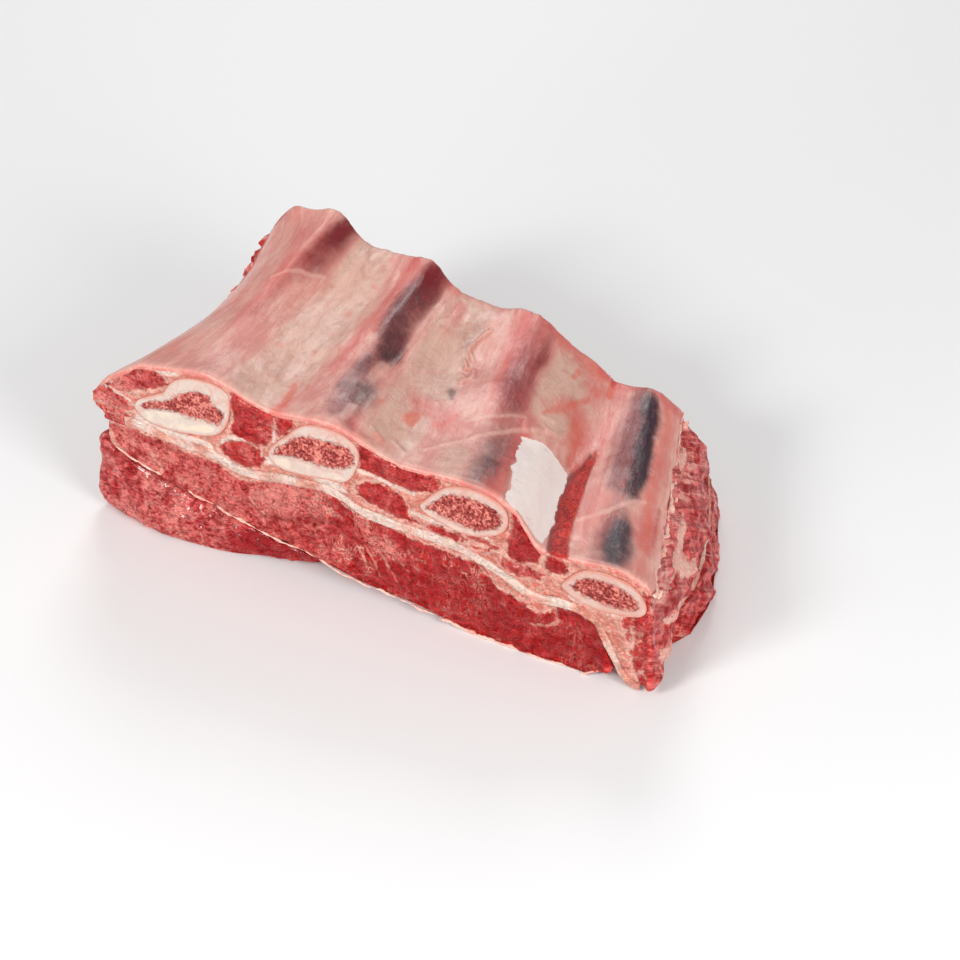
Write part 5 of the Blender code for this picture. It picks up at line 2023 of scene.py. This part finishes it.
@dataclass(frozen=True)
class Trim:
    """Small loose parts of the cut: strips of fascia, lumps of fat and shreds.

    Lumps on the right end are (v, share of the height, half sizes along x, y and z in mm).
    """

    fascia_from: float = -0.1035
    fascia_to: float = 0.0945
    fascia_half: float = 0.00035
    fascia_count: int = 500
    lip_half: float = 0.0004
    lip_count: int = 320
    shred_count: int = 22
    shred_size: tuple[float, float, float] = (0.0026, 0.0046, 0.0022)
    lumps: Points = (
        (0.09, 0.84, 0.9, 1.9, 1.2), (0.49, 0.965, 1.2, 1.6, 1.5), (0.56, 0.93, 0.6, 1.0, 0.8),
        (0.93, 0.95, 0.9, 2.4, 1.3),
    )

    def fascia(self, finish: bpy.types.Material) -> bpy.types.Object:
        """Builds the ragged strip along the plate muscle's lower near edge.

        Its half width and its offset from the fold line wander by noise, and it tapers to each
        end by a square root.

        Args:
            finish: Its material.

        Returns:
            The strip object.
        """
        u = np.linspace(self.fascia_from, self.fascia_to, self.fascia_count)
        line = on_axis(u / MM, 0)
        steps = np.arange(self.fascia_count)
        taper = np.sqrt(np.clip(np.minimum(steps, steps[::-1]) / 14, 0.02, 1))
        half = self.fascia_half * (1 + 0.9 * Grain(81)(line, 2.6, 3)) * taper
        half = np.maximum(half, 0.00012)
        z = SLAB.fold(u, 0 * u) + 0.0002 + Grain(82)(line, 7.0, 3) * 0.0005
        forward = (0.0002 + 0.0004 * Grain(83)(line, 4.0, 2)) / SLAB.depth
        path = np.stack([u, -forward, np.maximum(z, half + 0.0001)], axis=1)
        skin = carried(path, half, ((0.0, 1.0, 0.0), (0.0, 0.0, 1.0)))
        skin.raise_by(0.2 * Grain(84)(skin.place, 1.1, 2))
        skin.points[:, 2] = np.maximum(skin.points[:, 2], 0.0)
        return skin.object("fold_fascia", finish, "fat_seam")

    def lip(self, finish: bpy.types.Material) -> bpy.types.Object:
        """Builds the frayed edge of the membrane along the top of the right end.

        Args:
            finish: Its material.

        Returns:
            The strip object.
        """
        v = np.linspace(0.01, 0.985, self.lip_count)
        line = on_axis(v * SLAB.depth / MM, 1)
        half = self.lip_half * (1 + 1.1 * Grain(85)(line, 3.0, 3))
        half = np.maximum(half, 0.00015)
        u = SLAB.right_top + 0.0002 + 0.0009 * Grain(86)(line, 5.0, 3)
        z = SLAB.rounded_roof(u, v) - 0.0004 + 0.0008 * Grain(87)(line, 4.0, 3)
        skin = carried(np.stack([u, v, z], axis=1), half, ((1.3, 0.0, -0.3), (0.0, 0.0, 0.9)))
        skin.raise_by(0.25 * Grain(88)(skin.place, 1.2, 2))
        return skin.object("membrane_lip", finish, "fat_seam")

    def shreds(self, finish: bpy.types.Material) -> bpy.types.Object:
        """Builds torn bits of red meat along the far left edge of the bone side and the far cut.

        Args:
            finish: Their material.

        Returns:
            The bits as one object.
        """
        picks = np.random.default_rng(11)
        count = self.shred_count
        v = picks.uniform(0.62, 0.99, count)
        u = picks.uniform(-0.1075, -0.1035, count)
        far = picks.uniform(-0.105, 0.108, count)
        u, v = np.append(u, far), np.append(v, np.full(count, 0.999))
        z = SLAB.rounded_roof(u, np.minimum(v, 0.99)) - 0.0016 - 0.0010 * (v > 0.995)
        z = z - picks.uniform(0, 0.003, 2 * count) * (v > 0.995)
        sizes = picks.uniform(0.3, 1.0, (2 * count, 3)) * np.array(self.shred_size)
        sizes[count:] *= (0.9, 0.3, 0.6)
        skin = blobs(np.stack([u, v, z], axis=1), sizes, 12, 95, 0.22)
        lean = 1.6 * Grain(96)(skin.points / MM, 4.0, 2) + 0.8
        skin.give(end=0.0, white=0.0, tone=0.0, lean=lean, rosy=0.6, vein=FAR_MM)
        return skin.object("torn_shreds", finish, "rib_meat")

    def end_lumps(self, finish: bpy.types.Material) -> bpy.types.Object:
        """Builds the white lumps of fat that stand out of the right end.

        Args:
            finish: Their material.

        Returns:
            The lumps as one object.
        """
        rows = np.array(self.lumps)
        v, share = rows[:, 0], rows[:, 1]
        z = share * SLAB.roof(SLAB.right_top, v)
        middles = np.stack([SLAB.right_wall(z, v) + 0.0002, v, z], axis=1)
        skin = blobs(middles, rows[:, 2:] * MM, 10, 97, 0.35)
        return skin.object("end_fat_lumps", finish, "fat_seam")


@dataclass(frozen=True)
class Studio:
    """The pale floor, the soft lights and the camera."""

    camera_at: tuple[float, float, float] = (0.35346, -0.63937, 0.62155)
    turn: float = 27.5
    down: float = 39.609
    lens: float = 97.2
    floor_half: float = 3.0
    sky: float = 0.32
    lit_point: tuple[float, float, float] = (0, 0, 0.04)
    lights: tuple[tuple[str, tuple[float, float, float], float, float], ...] = (
        ("key", (-0.45, -1.05, 0.75), 0.35, 9.5),
        ("front", (-0.15, -1.30, 0.25), 0.35, 3.2),
        ("back", (-0.45, 0.90, 0.80), 0.50, 5.5),
        ("fill", (0.90, -0.40, 0.50), 0.45, 7.0),
    )

    def light(self, name: str, at: tuple[float, float, float], size: float, power: float) -> None:
        """Adds a square soft light that looks at the slab.

        Args:
            name: The light's name.
            at: Where it stands.
            size: Its side in metres.
            power: Its power in watts.
        """
        lamp = bpy.data.lights.new(name, "AREA")
        lamp.size = size
        lamp.energy = power
        holder = bpy.data.objects.new(name, lamp)
        holder.location = at
        holder.rotation_euler = (Vector(self.lit_point) - Vector(at)).to_track_quat("-Z", "Y").to_euler()
        bpy.context.scene.collection.objects.link(holder)

    def build(self) -> None:
        """Sets the floor, the world, the lights, and the camera, which looks down and to the left."""
        h = self.floor_half
        mesh = bpy.data.meshes.new("table_floor")
        mesh.from_pydata([(-h, -h, 0), (h, -h, 0), (h, h, 0), (-h, h, 0)], [], [(0, 1, 2, 3)])
        mesh.materials.append(FloorFinish().material())
        table = bpy.data.objects.new("table_floor", mesh)
        bpy.context.scene.collection.objects.link(table)
        world = bpy.data.worlds.new("studio")
        world.use_nodes = True
        background = world.node_tree.nodes["Background"]
        background.inputs["Color"].default_value = (1, 1, 1, 1)
        background.inputs["Strength"].default_value = self.sky
        bpy.context.scene.world = world
        for light in self.lights:
            self.light(*light)
        camera = bpy.data.objects.new("camera", bpy.data.cameras.new("camera"))
        camera.data.lens = self.lens
        camera.data.sensor_width = 36.0
        camera.data.clip_start = 0.01
        turn, down = np.radians(self.turn), np.radians(self.down)
        look = Vector((-np.sin(turn) * np.cos(down), np.cos(turn) * np.cos(down), -np.sin(down)))
        camera.location = self.camera_at
        camera.rotation_euler = look.to_track_quat("-Z", "Y").to_euler()
        bpy.context.scene.collection.objects.link(camera)
        bpy.context.scene.camera = camera
        bpy.context.scene.view_settings.view_transform = "Standard"


def main() -> None:
    """Builds every piece in order."""
    logging.basicConfig(level=logging.INFO, format="%(name)s: %(message)s")
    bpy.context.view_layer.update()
    RibMeat().build()
    Membrane().build()
    FatSeam().build()
    PlateMuscle().build()
    UnderMuscle().build()
    bone, core = SawnFinish("sawn_bone").material(), SawnFinish("marrow_sponge").material()
    fat = FatFinish().material()
    for rib in RIBS:
        RibBone(rib).build_bone(bone)
        RibBone(rib).build_core(core)
    trim = Trim()
    for make in (trim.fascia, trim.lip, trim.end_lumps):
        make(fat)
    trim.shreds(MeatFinish("shred_meat").material())
    Studio().build()


if __name__ == "__main__":
    main()
